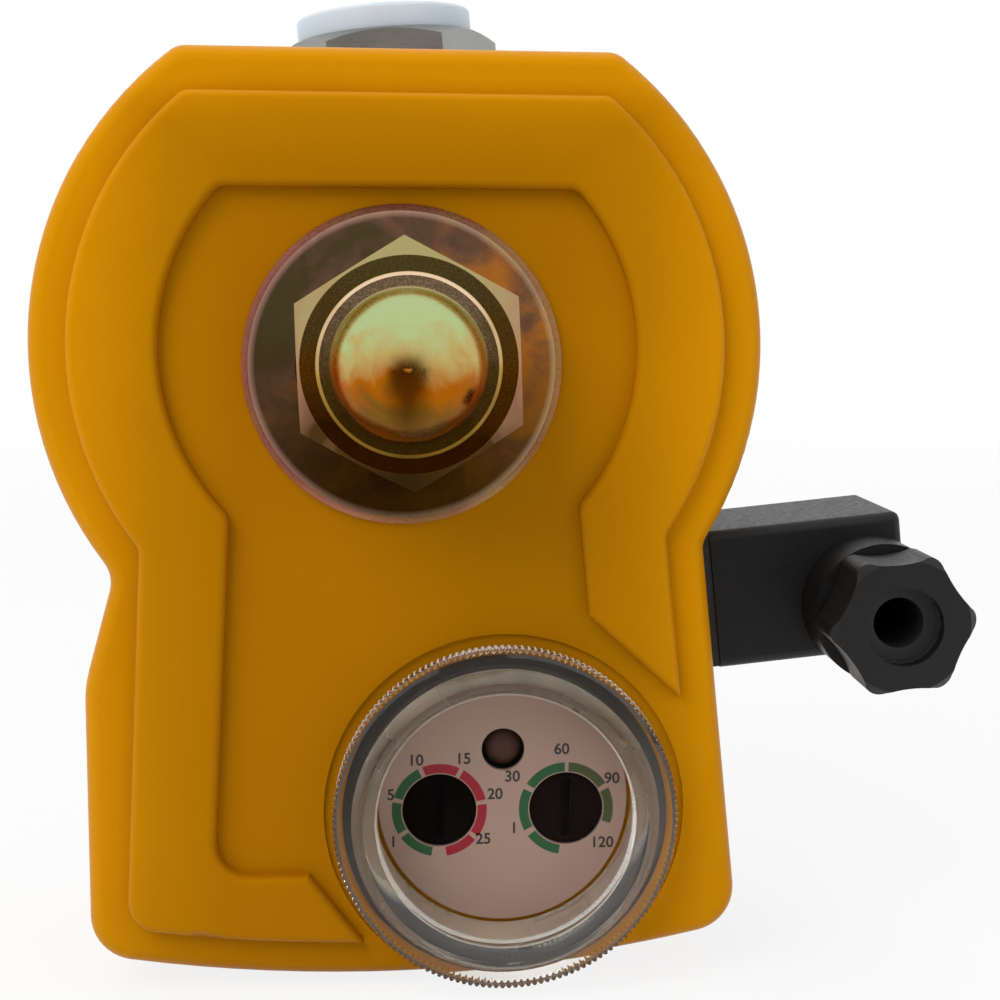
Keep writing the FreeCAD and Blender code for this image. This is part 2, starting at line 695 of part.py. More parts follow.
def make_housing_shell():
    body = new_body("shell")
    outline = housing_outline(new_sketch(body, "shell_outline"), ZERO)
    block_pad = feature(body, "Pad", "shell_block", outline, s.housing_depth, True)
    below = -(s.neck_drop + s.foot_drop).number / 2
    low = edges_where(block_pad, lambda e: along_y(e) and e.BoundBox.ZMax < below
                      and abs(e.BoundBox.XMax) > s.head_radius.number / 2)
    dress(body, "Fillet", "foot_corners", block_pad, low, s.foot_corner)
    high = edges_where(body.Tip, lambda e: along_y(e) and e.BoundBox.ZMin > s.head_top.number - 1)
    dress(body, "Fillet", "head_corners", body.Tip, high, s.head_corner)
    for name, x, drop, size in (("neck_right", neck_x, s.neck_drop, s.neck_round),
                                ("neck_left", -neck_left_x, s.neck_drop_left, s.neck_round_left),
                                ("left_bend", -left_x, s.left_bend, s.bend_round)):
        spot = Vector(x.number, 0, -drop.number)
        corner = edges_where(body.Tip, lambda e: along_y(e) and e.distToShape(Part.Vertex(spot))[0] < 0.01)
        dress(body, "Fillet", name, body.Tip, corner, size)
    front = edges_where(body.Tip, lambda e: in_plane(0.0, e))
    dress(body, "Fillet", "front_round", body.Tip, front, s.edge_round)
    feature(body, "Pad", "band", band_outline(new_sketch(body, "band_outline")), s.band_height)
    step = band_step.number
    tip = -band_tip_x.number
    tail = -(s.band_end_right - s.band_tail_slant).number

    def rise(edge):
        """An upright edge of the band."""
        return along_y(edge) and edge.BoundBox.YMin < -1

    inside = edges_where(body.Tip, lambda e: rise(e) and abs(e.BoundBox.ZMin - step) < 0.01 and e.BoundBox.XMin < tip - 3)
    dress(body, "Fillet", "band_corner", body.Tip, inside, s.band_corner)
    outside = edges_where(body.Tip, lambda e: rise(e) and e.BoundBox.ZMax < step - 1 and e.BoundBox.XMax < tip - 3)
    dress(body, "Fillet", "band_foot_corner", body.Tip, outside, s.foot_corner - s.edge_round)
    head = edges_where(body.Tip, lambda e: rise(e) and e.BoundBox.ZMin > 0)
    dress(body, "Fillet", "band_head_corners", body.Tip, head, s.band_bend)
    bends = edges_where(body.Tip, lambda e: rise(e) and tail + 1 < e.BoundBox.ZMin < 0)
    dress(body, "Fillet", "band_necks", body.Tip, bends, s.band_bend)
    crest = edges_where(body.Tip, lambda e: in_plane(-s.band_height.number, e))
    dress(body, "Fillet", "band_round", body.Tip, crest, s.band_round)
    hollow = housing_outline(new_sketch(body, "hollow_outline", offset=-s.housing_depth), s.side_wall)
    feature(body, "Pocket", "hollow", hollow, s.housing_depth - s.front_wall, True)
    bosses = new_sketch(body, "boss_circles", offset=-(cover_front - s.seat_gap))
    for x, z in BOSS_SPOTS:
        circle(bosses, x, z, s.boss_radius)
    feature(body, "Pad", "bosses", bosses, cover_front - s.seat_gap - s.front_wall / 2)
    holes = new_sketch(body, "boss_holes", offset=-(cover_front - s.seat_gap))
    for x, z in BOSS_SPOTS:
        circle(holes, x, z, s.screw_radius)
    feature(body, "Pocket", "boss_bores", holes, cover_front - s.seat_gap - screw_tip + s.side_gap, True)
    well = circle(new_sketch(body, "well_circle", offset=-well_back), s.timer_x, -timer_drop,
                  s.skirt_radius + s.run_gap + s.well_wall)
    feature(body, "Pad", "well", well, well_back - s.front_wall / 2)
    ring = circle(new_sketch(body, "ring_circle", offset=s.band_height), s.timer_x, -timer_drop,
                  s.ring_recess_radius)
    feature(body, "Pocket", "ring_recess", ring, s.band_height + s.ring_recess)
    bore = circle(new_sketch(body, "well_bore_circle", offset=s.band_height), s.timer_x, -timer_drop,
                  s.skirt_radius + s.run_gap)
    feature(body, "Pocket", "well_bore", bore, s.band_height + well_front_floor)
    opening = circle(new_sketch(body, "well_opening_circle", offset=s.band_height), s.timer_x, -timer_drop,
                     s.well_opening)
    feature(body, "Pocket", "well_opening", opening, s.band_height + well_back + s.side_gap)
    coil_bore = circle(new_sketch(body, "coil_bore_circle"), s.coil_offset, s.coil_rise, s.tube_radius + s.side_gap)
    feature(body, "Pocket", "coil_bore", coil_bore, s.front_wall)
    groove = circle(new_sketch(body, "seal_circle"), s.coil_offset, s.coil_rise,
                    s.tube_radius + s.side_gap + s.seal_bead * 2)
    feature(body, "Pocket", "seal_recess", groove, s.seal_bead * 2 - s.seat_gap)
    window = block("wall_window", (-(s.side_wall * 2), s.plug_depth - s.plug_thickness / 3, -(s.plug_height / 3)),
                   (s.base_thickness * 2, s.plug_depth + s.plug_thickness / 3, s.plug_height / 3))
    lean = Rotation(Vector(0, -1, 0), s.side_flare.number)
    frame = group("wall_window_leaning", window)
    frame.Placement = Placement(Vector(), lean)
    shift(frame, wall_x, ZERO, -s.plug_drop)
    frame.setExpression("Placement.Rotation.Angle", s.side_flare.text)
    place_housing(cut("housing_shell", body, frame), "housing_shell")


def make_back_cover():
    body = new_body("cover")
    sketch = housing_outline(new_sketch(body, "cover_outline", offset=-s.housing_depth), s.side_wall + s.side_gap)
    feature(body, "Pad", "cover_plate", sketch, s.cover_thickness)
    holes = circle(new_sketch(body, "cover_holes", offset=-s.housing_depth), s.coil_offset, s.coil_rise,
                   s.flange_radius + s.side_gap)
    for x, z in BOSS_SPOTS:
        circle(holes, x, z, s.screw_radius + s.seat_gap)
    feature(body, "Pocket", "cover_bores", holes, s.cover_thickness, True)
    sinks = new_sketch(body, "cover_sinks", offset=-s.housing_depth)
    for x, z in BOSS_SPOTS:
        circle(sinks, x, z, s.screw_head_radius + s.side_gap)
    feature(body, "Pocket", "cover_recesses", sinks, s.screw_head_height, True)
    place_housing(body, "back_cover")


def make_cover_screws():
    screws = []
    for index, (x, z) in enumerate(BOSS_SPOTS):
        head = rod("cover_head%d" % index, s.screw_head_radius, screw_head_front, s.screw_head_height - s.seat_gap,
                   x, z)
        shank = rod("cover_shank%d" % index, s.screw_radius - s.run_gap, screw_tip, s.screw_length, x, z)
        slot_a = block("cover_slot_a%d" % index,
                       (x - s.screw_radius, s.housing_depth - s.screw_head_height / 2, z - s.screw_radius / 4),
                       (x + s.screw_radius, s.housing_depth + s.seat_gap, z + s.screw_radius / 4))
        slot_b = block("cover_slot_b%d" % index,
                       (x - s.screw_radius / 4, s.housing_depth - s.screw_head_height / 2, z - s.screw_radius),
                       (x + s.screw_radius / 4, s.housing_depth + s.seat_gap, z + s.screw_radius))
        screws.append(cut("cover_screw%d" % index, fused("cover_blank%d" % index, head, shank), slot_a, slot_b))
    place_housing(group("cover_screws", *screws), "cover_screws")


# Coil

def make_coil():
    flange_inner = bobbin_front + s.bobbin_flange
    back_inner = bobbin_back - s.bobbin_flange
    bobbin = turned("bobbin", [
        (bobbin_bore, bobbin_front), (bobbin_bore, bobbin_back), (s.bobbin_flange_radius, bobbin_back),
        (s.bobbin_flange_radius, back_inner), (bobbin_tube, back_inner), (bobbin_tube, flange_inner),
        (s.bobbin_flange_radius, flange_inner), (s.bobbin_flange_radius, bobbin_front)])
    place_coil(bobbin, "coil_bobbin")
    winding = cut("winding", rod("winding_outer", s.winding_radius, flange_inner + s.seat_gap,
                                 back_inner - flange_inner - s.seat_gap * 2),
                  rod("winding_bore", bobbin_tube + s.seat_gap, flange_inner, back_inner - flange_inner))
    place_coil(winding, "coil_winding")
    body = new_body("yoke")
    frame = new_sketch(body, "yoke_frame", "YZ_Plane", offset=-s.yoke_half_width)
    rectangle(frame, yoke_front, -s.yoke_half_height, yoke_back, s.yoke_half_height)
    rectangle(frame, yoke_front + s.yoke_plate, -s.yoke_half_height + s.yoke_plate,
              yoke_back - s.yoke_plate, s.yoke_half_height - s.yoke_plate)
    feature(body, "Pad", "yoke_loop", frame, s.yoke_half_width * 2)
    bore = circle(new_sketch(body, "yoke_bore", offset=-yoke_back), ZERO, ZERO, s.tube_radius + s.seat_gap)
    feature(body, "Pocket", "yoke_bores", bore, yoke_back - yoke_front, True)
    place_coil(body, "coil_yoke")
    bead = bound(doc.addObject("Part::Torus", "front_bead"), Radius1=s.tube_radius + s.side_gap + s.seal_bead,
                 Radius2=s.seal_bead - s.run_gap)
    shift(bead, y=s.seal_bead - s.seat_gap / 2, turn=LAY_BACK)
    place_coil(group("front_ring", bead), "coil_seal")


# Armature: tube, fixed core, plunger, spring

def make_armature():
    tube = turned("tube", [
        (tube_bore, s.weld_inset), (tube_bore, body_front + s.spigot_length),
        (s.spigot_radius, body_front + s.spigot_length), (s.spigot_radius, body_front - s.seat_gap),
        (s.flange_radius, body_front - s.seat_gap), (s.flange_radius, flange_front),
        (s.tube_radius, flange_front), (s.tube_radius, s.weld_inset)])
    place_valve(tube, "armature_tube")
    ring_half = s.ring_radius / 8
    core = turned("core", [
        (ZERO, -s.stud_length), (s.stud_radius - s.run_gap * 8, -s.stud_length),
        (s.stud_radius, -s.stud_length + s.run_gap * 8), (s.stud_radius, s.weld_inset),
        (tube_bore, s.weld_inset), (tube_bore, core_back), (s.ring_radius + ring_half, core_back),
        (s.ring_radius + ring_half, core_back - ring_half * 2), (s.ring_radius - ring_half, core_back - ring_half * 2),
        (s.ring_radius - ring_half, core_back), (ZERO, core_back)])
    place_valve(core, "fixed_core")
    ring = turned("ring", [
        (s.ring_radius - ring_half, core_back - ring_half * 2), (s.ring_radius + ring_half, core_back - ring_half * 2),
        (s.ring_radius + ring_half, core_back), (s.ring_radius - ring_half, core_back)])
    place_valve(ring, "shading_ring")
    plunger_radius = tube_bore - s.run_gap
    pocket = s.spring_radius + s.spring_wire + s.side_gap
    disc = s.seat_disc_radius
    plunger = turned("plunger_blank", [
        (ZERO, plunger_front + s.spring_bore), (pocket, plunger_front + s.spring_bore), (pocket, plunger_front),
        (plunger_radius, plunger_front), (plunger_radius, plunger_back - s.seat_disc / 2),
        (plunger_radius - s.seat_disc / 2, plunger_back), (disc, plunger_back), (disc, plunger_back - s.seat_disc),
        (ZERO, plunger_back - s.seat_disc)])
    place_valve(plunger, "plunger")
    rubber = rod("rubber_blank", disc - s.run_gap / 6, plunger_back - s.seat_disc, s.seat_disc)
    place_valve(group("rubber", rubber), "plunger_seal")
    spring_front = core_back + s.seat_gap + s.spring_wire
    spring_back = plunger_front + s.spring_bore - s.seat_gap - s.spring_wire
    helix = Part.makeHelix((spring_back.number - spring_front.number) / s.spring_turns.number,
                           spring_back.number - spring_front.number, s.spring_radius.number)
    wire = Part.Wire(helix.Edges)
    section = Part.Wire(Part.makeCircle(s.spring_wire.number, Vector(s.spring_radius.number, 0, 0), Vector(0, 1, 0)))
    coil = wire.makePipeShell([section], True, True)
    coil.rotate(Vector(), Vector(1, 0, 0), -90)
    coil.translate(Vector(0, spring_front.number, 0))
    spring = doc.addObject("Part::Feature", "spring")
    spring.Shape = coil
    place_valve(group("spring_holder", spring), "return_spring")
    bead = bound(doc.addObject("Part::Torus", "tube_bead"), Radius1=s.spigot_radius + s.seal_bead + s.run_gap,
                 Radius2=s.seal_bead - s.run_gap)
    shift(bead, y=body_front + s.seal_bead - s.seat_gap / 2, turn=LAY_BACK)
    place_valve(group("tube_ring", bead), "tube_seal")


# Valve body

def chamfered_hexagon(name, flats, start, length, chamfer, both=False):
    """A hexagonal bar along +Z with corners pointing along X and a 30 degree chamfer at its end."""
    corner = flats / math.sqrt(3.0)
    prism = bound(doc.addObject("Part::Prism", name + "_prism"), Circumradius=corner, Height=length)
    shift(prism, z=start)
    small = corner - chamfer
    drop = chamfer * math.tan(math.radians(30.0))
    end = start + length
    body = new_body(name + "_turned")
    sketch = new_sketch(body, name + "_profile", "XZ_Plane")
    low = [(ZERO, start), (small, start), (corner, start + drop)] if both else [(ZERO, start), (corner, start)]
    closed_loop(sketch, low + [(corner, end - drop), (small, end), (ZERO, end)])
    feature(body, "Revolution", name + "_revolved", sketch)
    return common(name, prism, body)


def make_valve_body():
    length = s.inlet_arm + s.outlet_arm
    bar_hex = chamfered_hexagon("port_bar", s.port_flats, -s.outlet_arm, length, s.port_chamfer, True)
    shift(bar_hex, y=port_depth)
    hub = rod("hub", s.hub_radius, body_front, s.hub_back)
    hub_edge = doc.addObject("Part::Chamfer", "hub_chamfered")
    hub_edge.Base = hub
    doc.recompute()
    rims = [index for index, edge in enumerate(hub.Shape.Edges, start=1)
            if abs(edge.BoundBox.YMin - (body_front + s.hub_back).number) < 1e-4
            and abs(edge.BoundBox.YMax - (body_front + s.hub_back).number) < 1e-4]
    hub_edge.Edges = [(index, s.port_chamfer.number / 2, s.port_chamfer.number / 2) for index in rims]
    blank = fused("body_blank", bar_hex, hub_edge)
    chamber = rod("chamber", s.spigot_radius + s.run_gap, body_front - s.seat_gap, s.chamber_depth + s.seat_gap)
    seal_seat = rod("seal_seat", s.spigot_radius + s.run_gap * 2 + s.seal_bead * 2, body_front - s.seat_gap,
                    s.seal_bead * 2)
    nozzle = rod("nozzle", s.nozzle_radius, seat_face, s.nozzle_height + s.seat_gap)
    orifice = rod("orifice", s.orifice, seat_face - s.seat_gap, port_depth - seat_face + s.seat_gap)
    tip = math.radians(59.0)
    inlet = post("inlet_thread", s.port_thread, s.inlet_arm - s.inlet_recess - s.port_thread_length,
                 s.inlet_recess + s.port_thread_length, y=port_depth)
    recess = post("inlet_recess_bore", s.inlet_recess_radius, s.inlet_arm - s.inlet_recess,
                  s.inlet_recess + s.seat_gap, y=port_depth)
    outlet = post("outlet_thread", s.port_thread, -s.outlet_arm - s.seat_gap, s.port_thread_length + s.seat_gap,
                  y=port_depth)
    cone = bound(doc.addObject("Part::Cone", "outlet_cone"), Radius1=s.port_thread, Radius2=s.passage,
                 Height=(s.port_thread - s.passage) / math.tan(tip))
    shift(cone, ZERO, port_depth, s.port_thread_length - s.outlet_arm)
    outlet_way = post("outlet_way", s.passage, s.port_thread_length - s.outlet_arm,
                      s.outlet_arm - s.port_thread_length + s.passage, y=port_depth)
    # the inlet passage is drilled aslant from the port's floor to the rim of the chamber
    drop_start = s.inlet_arm - s.inlet_recess - s.port_thread_length
    rise = drop_start.number
    run = (port_depth - chamber_floor).number
    rim = (s.spigot_radius - s.passage).number
    slant = math.degrees(math.atan2(run, rise - rim))
    inlet_way = bound(doc.addObject("Part::Cylinder", "inlet_way"), Radius=s.passage,
                      Height=(drop_start - s.spigot_radius + s.passage * 2.4) / math.cos(math.radians(slant)))
    inlet_way.Placement = Placement(Vector(), Rotation(Vector(1, 0, 0), 180 - slant))
    shift(inlet_way, ZERO, port_depth, drop_start + s.seat_gap)
    hollow = cut("chamber_hollow", fused("chamber_space", chamber, seal_seat, inlet_way), nozzle)
    body = cut("body_cut", blank, fused("ways", hollow, orifice, inlet, recess, outlet, cone, outlet_way))
    place_valve(body, "valve_body")


def make_dust_plug():
    flange_low = s.inlet_arm + s.seat_gap
    flange_high = flange_low + s.dust_thickness
    tail_low = s.inlet_arm - s.dust_tail_length
    body = new_body("dust")
    sketch = new_sketch(body, "dust_profile", "XZ_Plane")
    floor = flange_low + s.dust_wall
    closed_loop(sketch, [
        (ZERO, flange_low), (s.dust_bore, flange_low), (s.dust_bore, tail_low),
        (s.dust_tail - s.dust_wall / 3, tail_low), (s.dust_tail, tail_low + s.dust_wall), (s.dust_tail, flange_low),
        (s.dust_flange, flange_low), (s.dust_flange, flange_high), (s.dust_flange - s.dust_wall, flange_high),
        (s.dust_flange - s.dust_wall, floor), (ZERO, floor)])
    turned_plug = feature(body, "Revolution", "dust_turned", sketch)
    rims = edges_where(turned_plug, lambda e: abs(e.BoundBox.ZMin - flange_high.number) < 1e-4
                       and e.BoundBox.XMax > (s.dust_flange - s.dust_wall / 2).number)
    dress(body, "Fillet", "dust_round", turned_plug, rims, s.dust_wall / 2)
    moved = shift(group("dust_moved", body), y=port_depth)
    place_valve(group("dust_holder", moved), "inlet_dust_plug")


# Washer and dome nut

def make_nut():
    washer = turned("washer", [
        (s.washer_bore, -s.washer_rise), (s.washer_bore, -nut_seat),
        (s.nut_flats / 2, -nut_seat), (s.washer_radius - s.washer_thickness / 2, -s.washer_thickness),
        (s.washer_radius, -s.washer_thickness / 2), (s.washer_radius, -s.seat_gap),
        (s.washer_radius - s.washer_thickness, -s.seat_gap), (s.nut_flats / 2, -s.washer_rise)])
    place(washer, "nut_washer", WASHER)
    seat = nut_seat + s.seat_gap / 2
    corner = s.nut_flats / math.sqrt(3.0)
    prism = bound(doc.addObject("Part::Prism", "nut_prism"), Circumradius=corner, Height=s.nut_hex)
    prism.Placement = Placement(Vector(), Rotation(Vector(1, 0, 0), 90) * Rotation(Vector(0, 0, 1), 30 + s.nut_twist.number))
    shift(prism, y=-seat)
    chamfer = corner - s.nut_face_radius
    drop = chamfer * math.tan(math.radians(30.0))
    hex_front = seat + s.nut_hex
    cone = turned("nut_cone", [
        (ZERO, -seat), (corner, -seat), (corner, drop - hex_front), (s.nut_face_radius, -hex_front),
        (ZERO, -hex_front)])
    hexagon = common("nut_hexagon", prism, cone)
    collar_front = hex_front + s.collar_height
    dome_foot = collar_front + s.dome_straight
    dome = turned("nut_dome", [
        (ZERO, -hex_front + s.collar_height), (s.collar_radius, -hex_front + s.collar_height),
        (s.collar_radius, -collar_front + s.collar_height / 3),
        (s.collar_radius - s.collar_height / 3, -collar_front), (s.dome_radius, -collar_front),
        (s.dome_radius, -dome_foot), (ZERO, -dome_foot - s.dome_radius)], {5: -s.dome_radius})
    thread = rod("nut_thread", s.stud_radius + s.run_gap, -s.stud_length - s.side_gap * 5,
                 s.stud_length + s.side_gap * 5)
    place_coil(cut("dome_nut_cut", fused("dome_nut_blank", hexagon, dome), thread), "dome_nut")


# Timer: screw cap, gasket, dial, knobs, lamp, potentiometers, board

def make_lens_cap():
    rim = s.knurl_radius - s.knurl_depth
    inner = s.skirt_radius - s.skirt_wall
    window_front = s.bezel_front - s.window_thickness / 2
    window_back = window_front - s.window_thickness
    bezel_mid = s.bezel_radius - s.window_radius
    body = new_body("lens")
    sketch = new_sketch(body, "lens_profile", "XY_Plane")
    gasket_back = rim_back + s.seal_bead
    closed_loop(sketch, [
        (ZERO, -window_back), (s.window_radius - s.skirt_wall / 2, -window_back), (inner, -window_back + s.skirt_wall / 2),
        (inner, skirt_back), (s.skirt_radius - s.skirt_wall / 4, skirt_back),
        (s.skirt_radius, skirt_back - s.skirt_wall / 4), (s.skirt_radius, -gasket_back), (rim, -gasket_back),
        (rim, -s.rim_front + s.knurl_depth), (rim - s.knurl_depth, -s.rim_front), (s.bezel_radius, -s.rim_front),
        (s.bezel_radius - bezel_mid / 2, -s.bezel_front), (s.window_radius, -window_front),
        (ZERO, -window_front)], {10: -(bezel_mid / 1.55), 11: -(bezel_mid / 1.2)})
    feature(body, "Revolution", "lens_turned", sketch)
    teeth = int(s.knurl_teeth.number)
    points = []
    for tooth in range(teeth):
        for part, radius in ((0.0, rim.number), (0.35, s.knurl_radius.number), (0.65, s.knurl_radius.number),
                             (1.0, rim.number)):
            if part == 1.0:
                continue
            angle = 2 * math.pi * (tooth + part) / teeth
            points.append(Vector(radius * math.cos(angle), 0, radius * math.sin(angle)))
    points.append(points[0])
    band = Part.Face(Part.makePolygon(points))
    start = -(s.rim_front - s.knurl_depth).number
    ring = band.extrude(Vector(0, -gasket_back.number - start, 0))
    ring.translate(Vector(0, start, 0))
    knurl = doc.addObject("Part::Feature", "knurl_teeth_solid")
    knurl.Shape = ring.cut(Part.makeCylinder(rim.number - s.knurl_depth.number, 4 * s.rim_front.number,
                                             Vector(0, -2 * s.rim_front.number, 0), Vector(0, 1, 0)))
    place_timer(fused("lens_cap_fused", body, knurl), "lens_cap")


def make_gasket():
    width = (s.knurl_radius - s.skirt_radius) * 0.6
    back = s.ring_recess - s.seat_gap / 2
    front = rim_back + s.seal_bead - s.seat_gap / 2
    gasket = turned("lens_gasket_turned", [
        (s.skirt_radius + s.seat_gap, -front), (s.skirt_radius + s.seat_gap, back),
        (s.skirt_radius + width, back), (s.skirt_radius + width, -front)])
    place_timer(gasket, "lens_gasket")


KNOBS = (("on_time", -s.knob_spread), ("cycle_time", s.knob_spread))


def make_dial():
    body = new_body("dial")
    disc = circle(new_sketch(body, "dial_disc", offset=-(s.dial_depth + s.dial_thickness)), ZERO, ZERO, s.dial_radius)
    feature(body, "Pad", "dial_pad", disc, s.dial_thickness)
    holes = new_sketch(body, "dial_holes", offset=-s.dial_depth)
    for name, x in KNOBS:
        circle(holes, x, -s.knob_drop, s.knob_radius + s.seat_gap)
    circle(holes, ZERO, s.lamp_rise, s.lamp_radius + s.seat_gap)
    feature(body, "Pocket", "dial_bores", holes, s.dial_thickness)
    place_timer(body, "dial_plate")


def make_knobs():
    front = s.dial_depth + s.side_gap
    for name, x in KNOBS:
        head = rod(name + "_head", s.knob_radius, front, pot_front - s.seat_gap - front, x, -s.knob_drop)
        shaft = rod(name + "_shaft", s.shaft_radius, front, pot_front + s.shaft_length - front, x, -s.knob_drop)
        slot = block(name + "_slot", (x - s.knob_slot / 2, front - s.seat_gap, -s.knob_drop - s.knob_radius * 0.8),
                     (x + s.knob_slot / 2, front + s.knob_slot_depth, -s.knob_drop + s.knob_radius * 0.8))
        place_timer(cut(name + "_cut", fused(name + "_blank", head, shaft), slot), name + "_knob")


def make_potentiometers():
    for name, x in KNOBS:
        half = s.pot_side / 2
        case = block(name + "_case", (x - half, pot_front, -s.knob_drop - half),
                     (x + half, pot_front + s.pot_thickness, -s.knob_drop + half))
        bore = rod(name + "_bore", s.shaft_radius + s.run_gap, pot_front - s.seat_gap,
                   s.shaft_length + s.side_gap + s.seat_gap, x, -s.knob_drop)
        place_timer(cut(name + "_case_cut", case, bore), name + "_potentiometer")


def make_lamp():
    tip = s.dial_depth + s.side_gap + s.lamp_radius
    lamp = turned("lamp", [
        (ZERO, tip - s.lamp_radius), (s.lamp_radius, tip), (s.lamp_radius, board_front - s.seat_gap),
        (ZERO, board_front - s.seat_gap)], {0: s.lamp_radius})
    moved = shift(group("lamp_moved", lamp), z=s.lamp_rise)
    place_timer(group("lamp_holder", moved), "status_lamp")


def make_board():
    half = s.board_side / 2
    right = boss_right_x - s.boss_radius - s.board_gap - s.timer_x
    low = -(s.timer_rise - s.side_wall - s.board_margin)
    body = new_body("board")
    back = board_front + s.board_thickness
    plate = new_sketch(body, "board_plate", offset=-back)
    rectangle(plate, -half, low, right, low + s.board_side)
    feature(body, "Pad", "board_pad", plate, s.board_thickness)
    corners = edges_where(body.Tip, along_y)
    dress(body, "Fillet", "board_corners", body.Tip, corners, s.board_thickness)
    chips = new_sketch(body, "board_chips", offset=-(back + s.chip_height))
    rectangle(chips, -(half * 0.75), -(half * 0.6), -(half * 0.1), half * 0.1)
    rectangle(chips, half * 0.1, -(half * 0.7), half * 0.7, -(half * 0.2))
    rectangle(chips, half * 0.1, half * 0.1, half * 0.6, half * 0.7)
    feature(body, "Pad", "board_parts", chips, s.chip_height)
    place_timer(body, "timer_board")


# Cable connector

def make_connector_base():
    half_y = s.plug_thickness / 2
    half_z = s.plug_height / 2
    plate = block("base_plate", (s.seat_gap / 2, s.plug_depth - half_y, -half_z),
                  (s.base_thickness, s.plug_depth + half_y, half_z))
    spigot = block("base_spigot", (-s.side_wall - s.base_thickness, s.plug_depth - s.plug_thickness / 3 + s.side_gap,
                                   -(s.plug_height / 3) + s.side_gap),
                   (s.base_thickness, s.plug_depth + s.plug_thickness / 3 - s.side_gap,
                    s.plug_height / 3 - s.side_gap))
    nut_hole = bar("base_nut_hole", s.plug_screw_radius + s.run_gap, -s.side_wall, s.base_thickness + s.side_wall * 2,
                   y=s.plug_depth)
    pin_holes = [block("base_%s" % name, low, high) for name, low, high in pin_boxes(s.seat_gap)]
    place_plug(cut("base_cut", fused("base_blank", plate, spigot), nut_hole, *pin_holes), "connector_base")


def pin_boxes(margin):
    """The four flat contact pins: name, low corner, high corner, widened by a margin."""
    reach = s.plug_thickness * 0.22
    rise = s.plug_height * 0.17
    wide = s.plug_thickness * 0.06
    thin = s.plug_height * 0.025
    start = -s.side_wall - s.base_thickness - margin
    end = s.base_thickness + s.pin_length + margin
    boxes = []
    for name, y, z, half_y, half_z in (("pin_front", -reach, ZERO, thin, wide), ("pin_back", reach, ZERO, thin, wide),
                                       ("pin_low", ZERO, -rise, wide, thin), ("pin_earth", ZERO, rise, wide, thin)):
        low = (start, s.plug_depth + y - half_y - margin, z - half_z - margin)
        high = (end, s.plug_depth + y + half_y + margin, z + half_z + margin)
        boxes.append((name, low, high))
    return boxes


def make_connector_pins():
    pins = [block(name, low, high) for name, low, high in pin_boxes(ZERO)]
    place_plug(group("pins", *pins), "connector_pins")


def make_connector_gasket():
    half_y = s.plug_thickness / 2 - s.side_gap
    half_z = s.plug_height / 2 - s.side_gap
    sheet_block = block("gasket_sheet", (s.base_thickness + s.seat_gap / 2, s.plug_depth - half_y, -half_z),
                        (plug_start - s.seat_gap / 2, s.plug_depth + half_y, half_z))
    inner_y = half_y - s.plug_wall * 2
    inner_z = half_z - s.plug_wall * 2
    opening = block("gasket_opening", (s.base_thickness - s.seat_gap, s.plug_depth - inner_y, -inner_z),
                    (plug_start + s.seat_gap, s.plug_depth + inner_y, inner_z))
    place_plug(cut("gasket_cut", sheet_block, opening), "connector_gasket")


def make_connector_housing():
    body = new_body("plug_shell")
    half_y = s.plug_thickness / 2
    half_z = s.plug_height / 2
    sketch = new_sketch(body, "plug_outline", "YZ_Plane", offset=plug_start)
    rectangle(sketch, s.plug_depth - half_y, -half_z, s.plug_depth + half_y, half_z)
    pad = feature(body, "Pad", "plug_block", sketch, s.plug_length)
    long_edges = edges_where(pad, lambda e: e.BoundBox.XLength > 1)
    dress(body, "Fillet", "plug_long_round", pad, long_edges, s.plug_round)
    item = body.Tip
    end_edges = edges_where(item, lambda e: abs(e.BoundBox.XMin - plug_end.number) < 1e-4)
    dress(body, "Fillet", "plug_end_round", item, end_edges, s.plug_round * 0.8)
    boss = circle(new_sketch(body, "gland_boss_circle", offset=-(plug_front + s.plug_round)), s.gland_offset,
                  -s.gland_sink, s.gland_radius)
    feature(body, "Pad", "gland_boss_pad", boss, s.gland_boss + s.plug_round)
    neck = circle(new_sketch(body, "gland_neck_circle", offset=-gland_front), s.gland_offset, -s.gland_sink,
                  s.gland_neck)
    feature(body, "Pad", "gland_neck_pad", neck, s.gland_neck_length)
    inner_y = half_y - s.plug_wall
    inner_z = half_z - s.plug_wall
    cavity = new_sketch(body, "plug_cavity", "YZ_Plane", offset=plug_start)
    rectangle(cavity, s.plug_depth - inner_y, -inner_z, s.plug_depth + inner_y, inner_z)
    feature(body, "Pocket", "plug_hollow", cavity, s.plug_length - s.plug_wall, True)
    bore = circle(new_sketch(body, "gland_bore_circle", offset=-(gland_front - s.gland_neck_length)),
                  s.gland_offset, -s.gland_sink, s.gland_bush + s.run_gap)
    feature(body, "Pocket", "gland_bore_cut", bore, s.gland_neck_length + s.gland_boss / 2)
    way = circle(new_sketch(body, "gland_way_circle", offset=-(gland_front - s.gland_neck_length)),
                 s.gland_offset, -s.gland_sink, s.bush_bore + s.side_gap)
    feature(body, "Pocket", "gland_way", way, s.gland_neck_length + s.gland_boss + s.plug_wall * 1.5)
    head = circle(new_sketch(body, "screw_sink", "YZ_Plane", offset=plug_end), s.plug_depth, ZERO,
                  s.plug_screw_head + s.side_gap)
    feature(body, "Pocket", "screw_sink_cut", head, s.plug_wall / 2)
    hole = circle(new_sketch(body, "screw_hole", "YZ_Plane", offset=plug_end), s.plug_depth, ZERO,
                  s.plug_screw_radius + s.run_gap)
    feature(body, "Pocket", "screw_hole_cut", hole, s.plug_wall * 1.5)
    place_plug(body, "connector_housing")


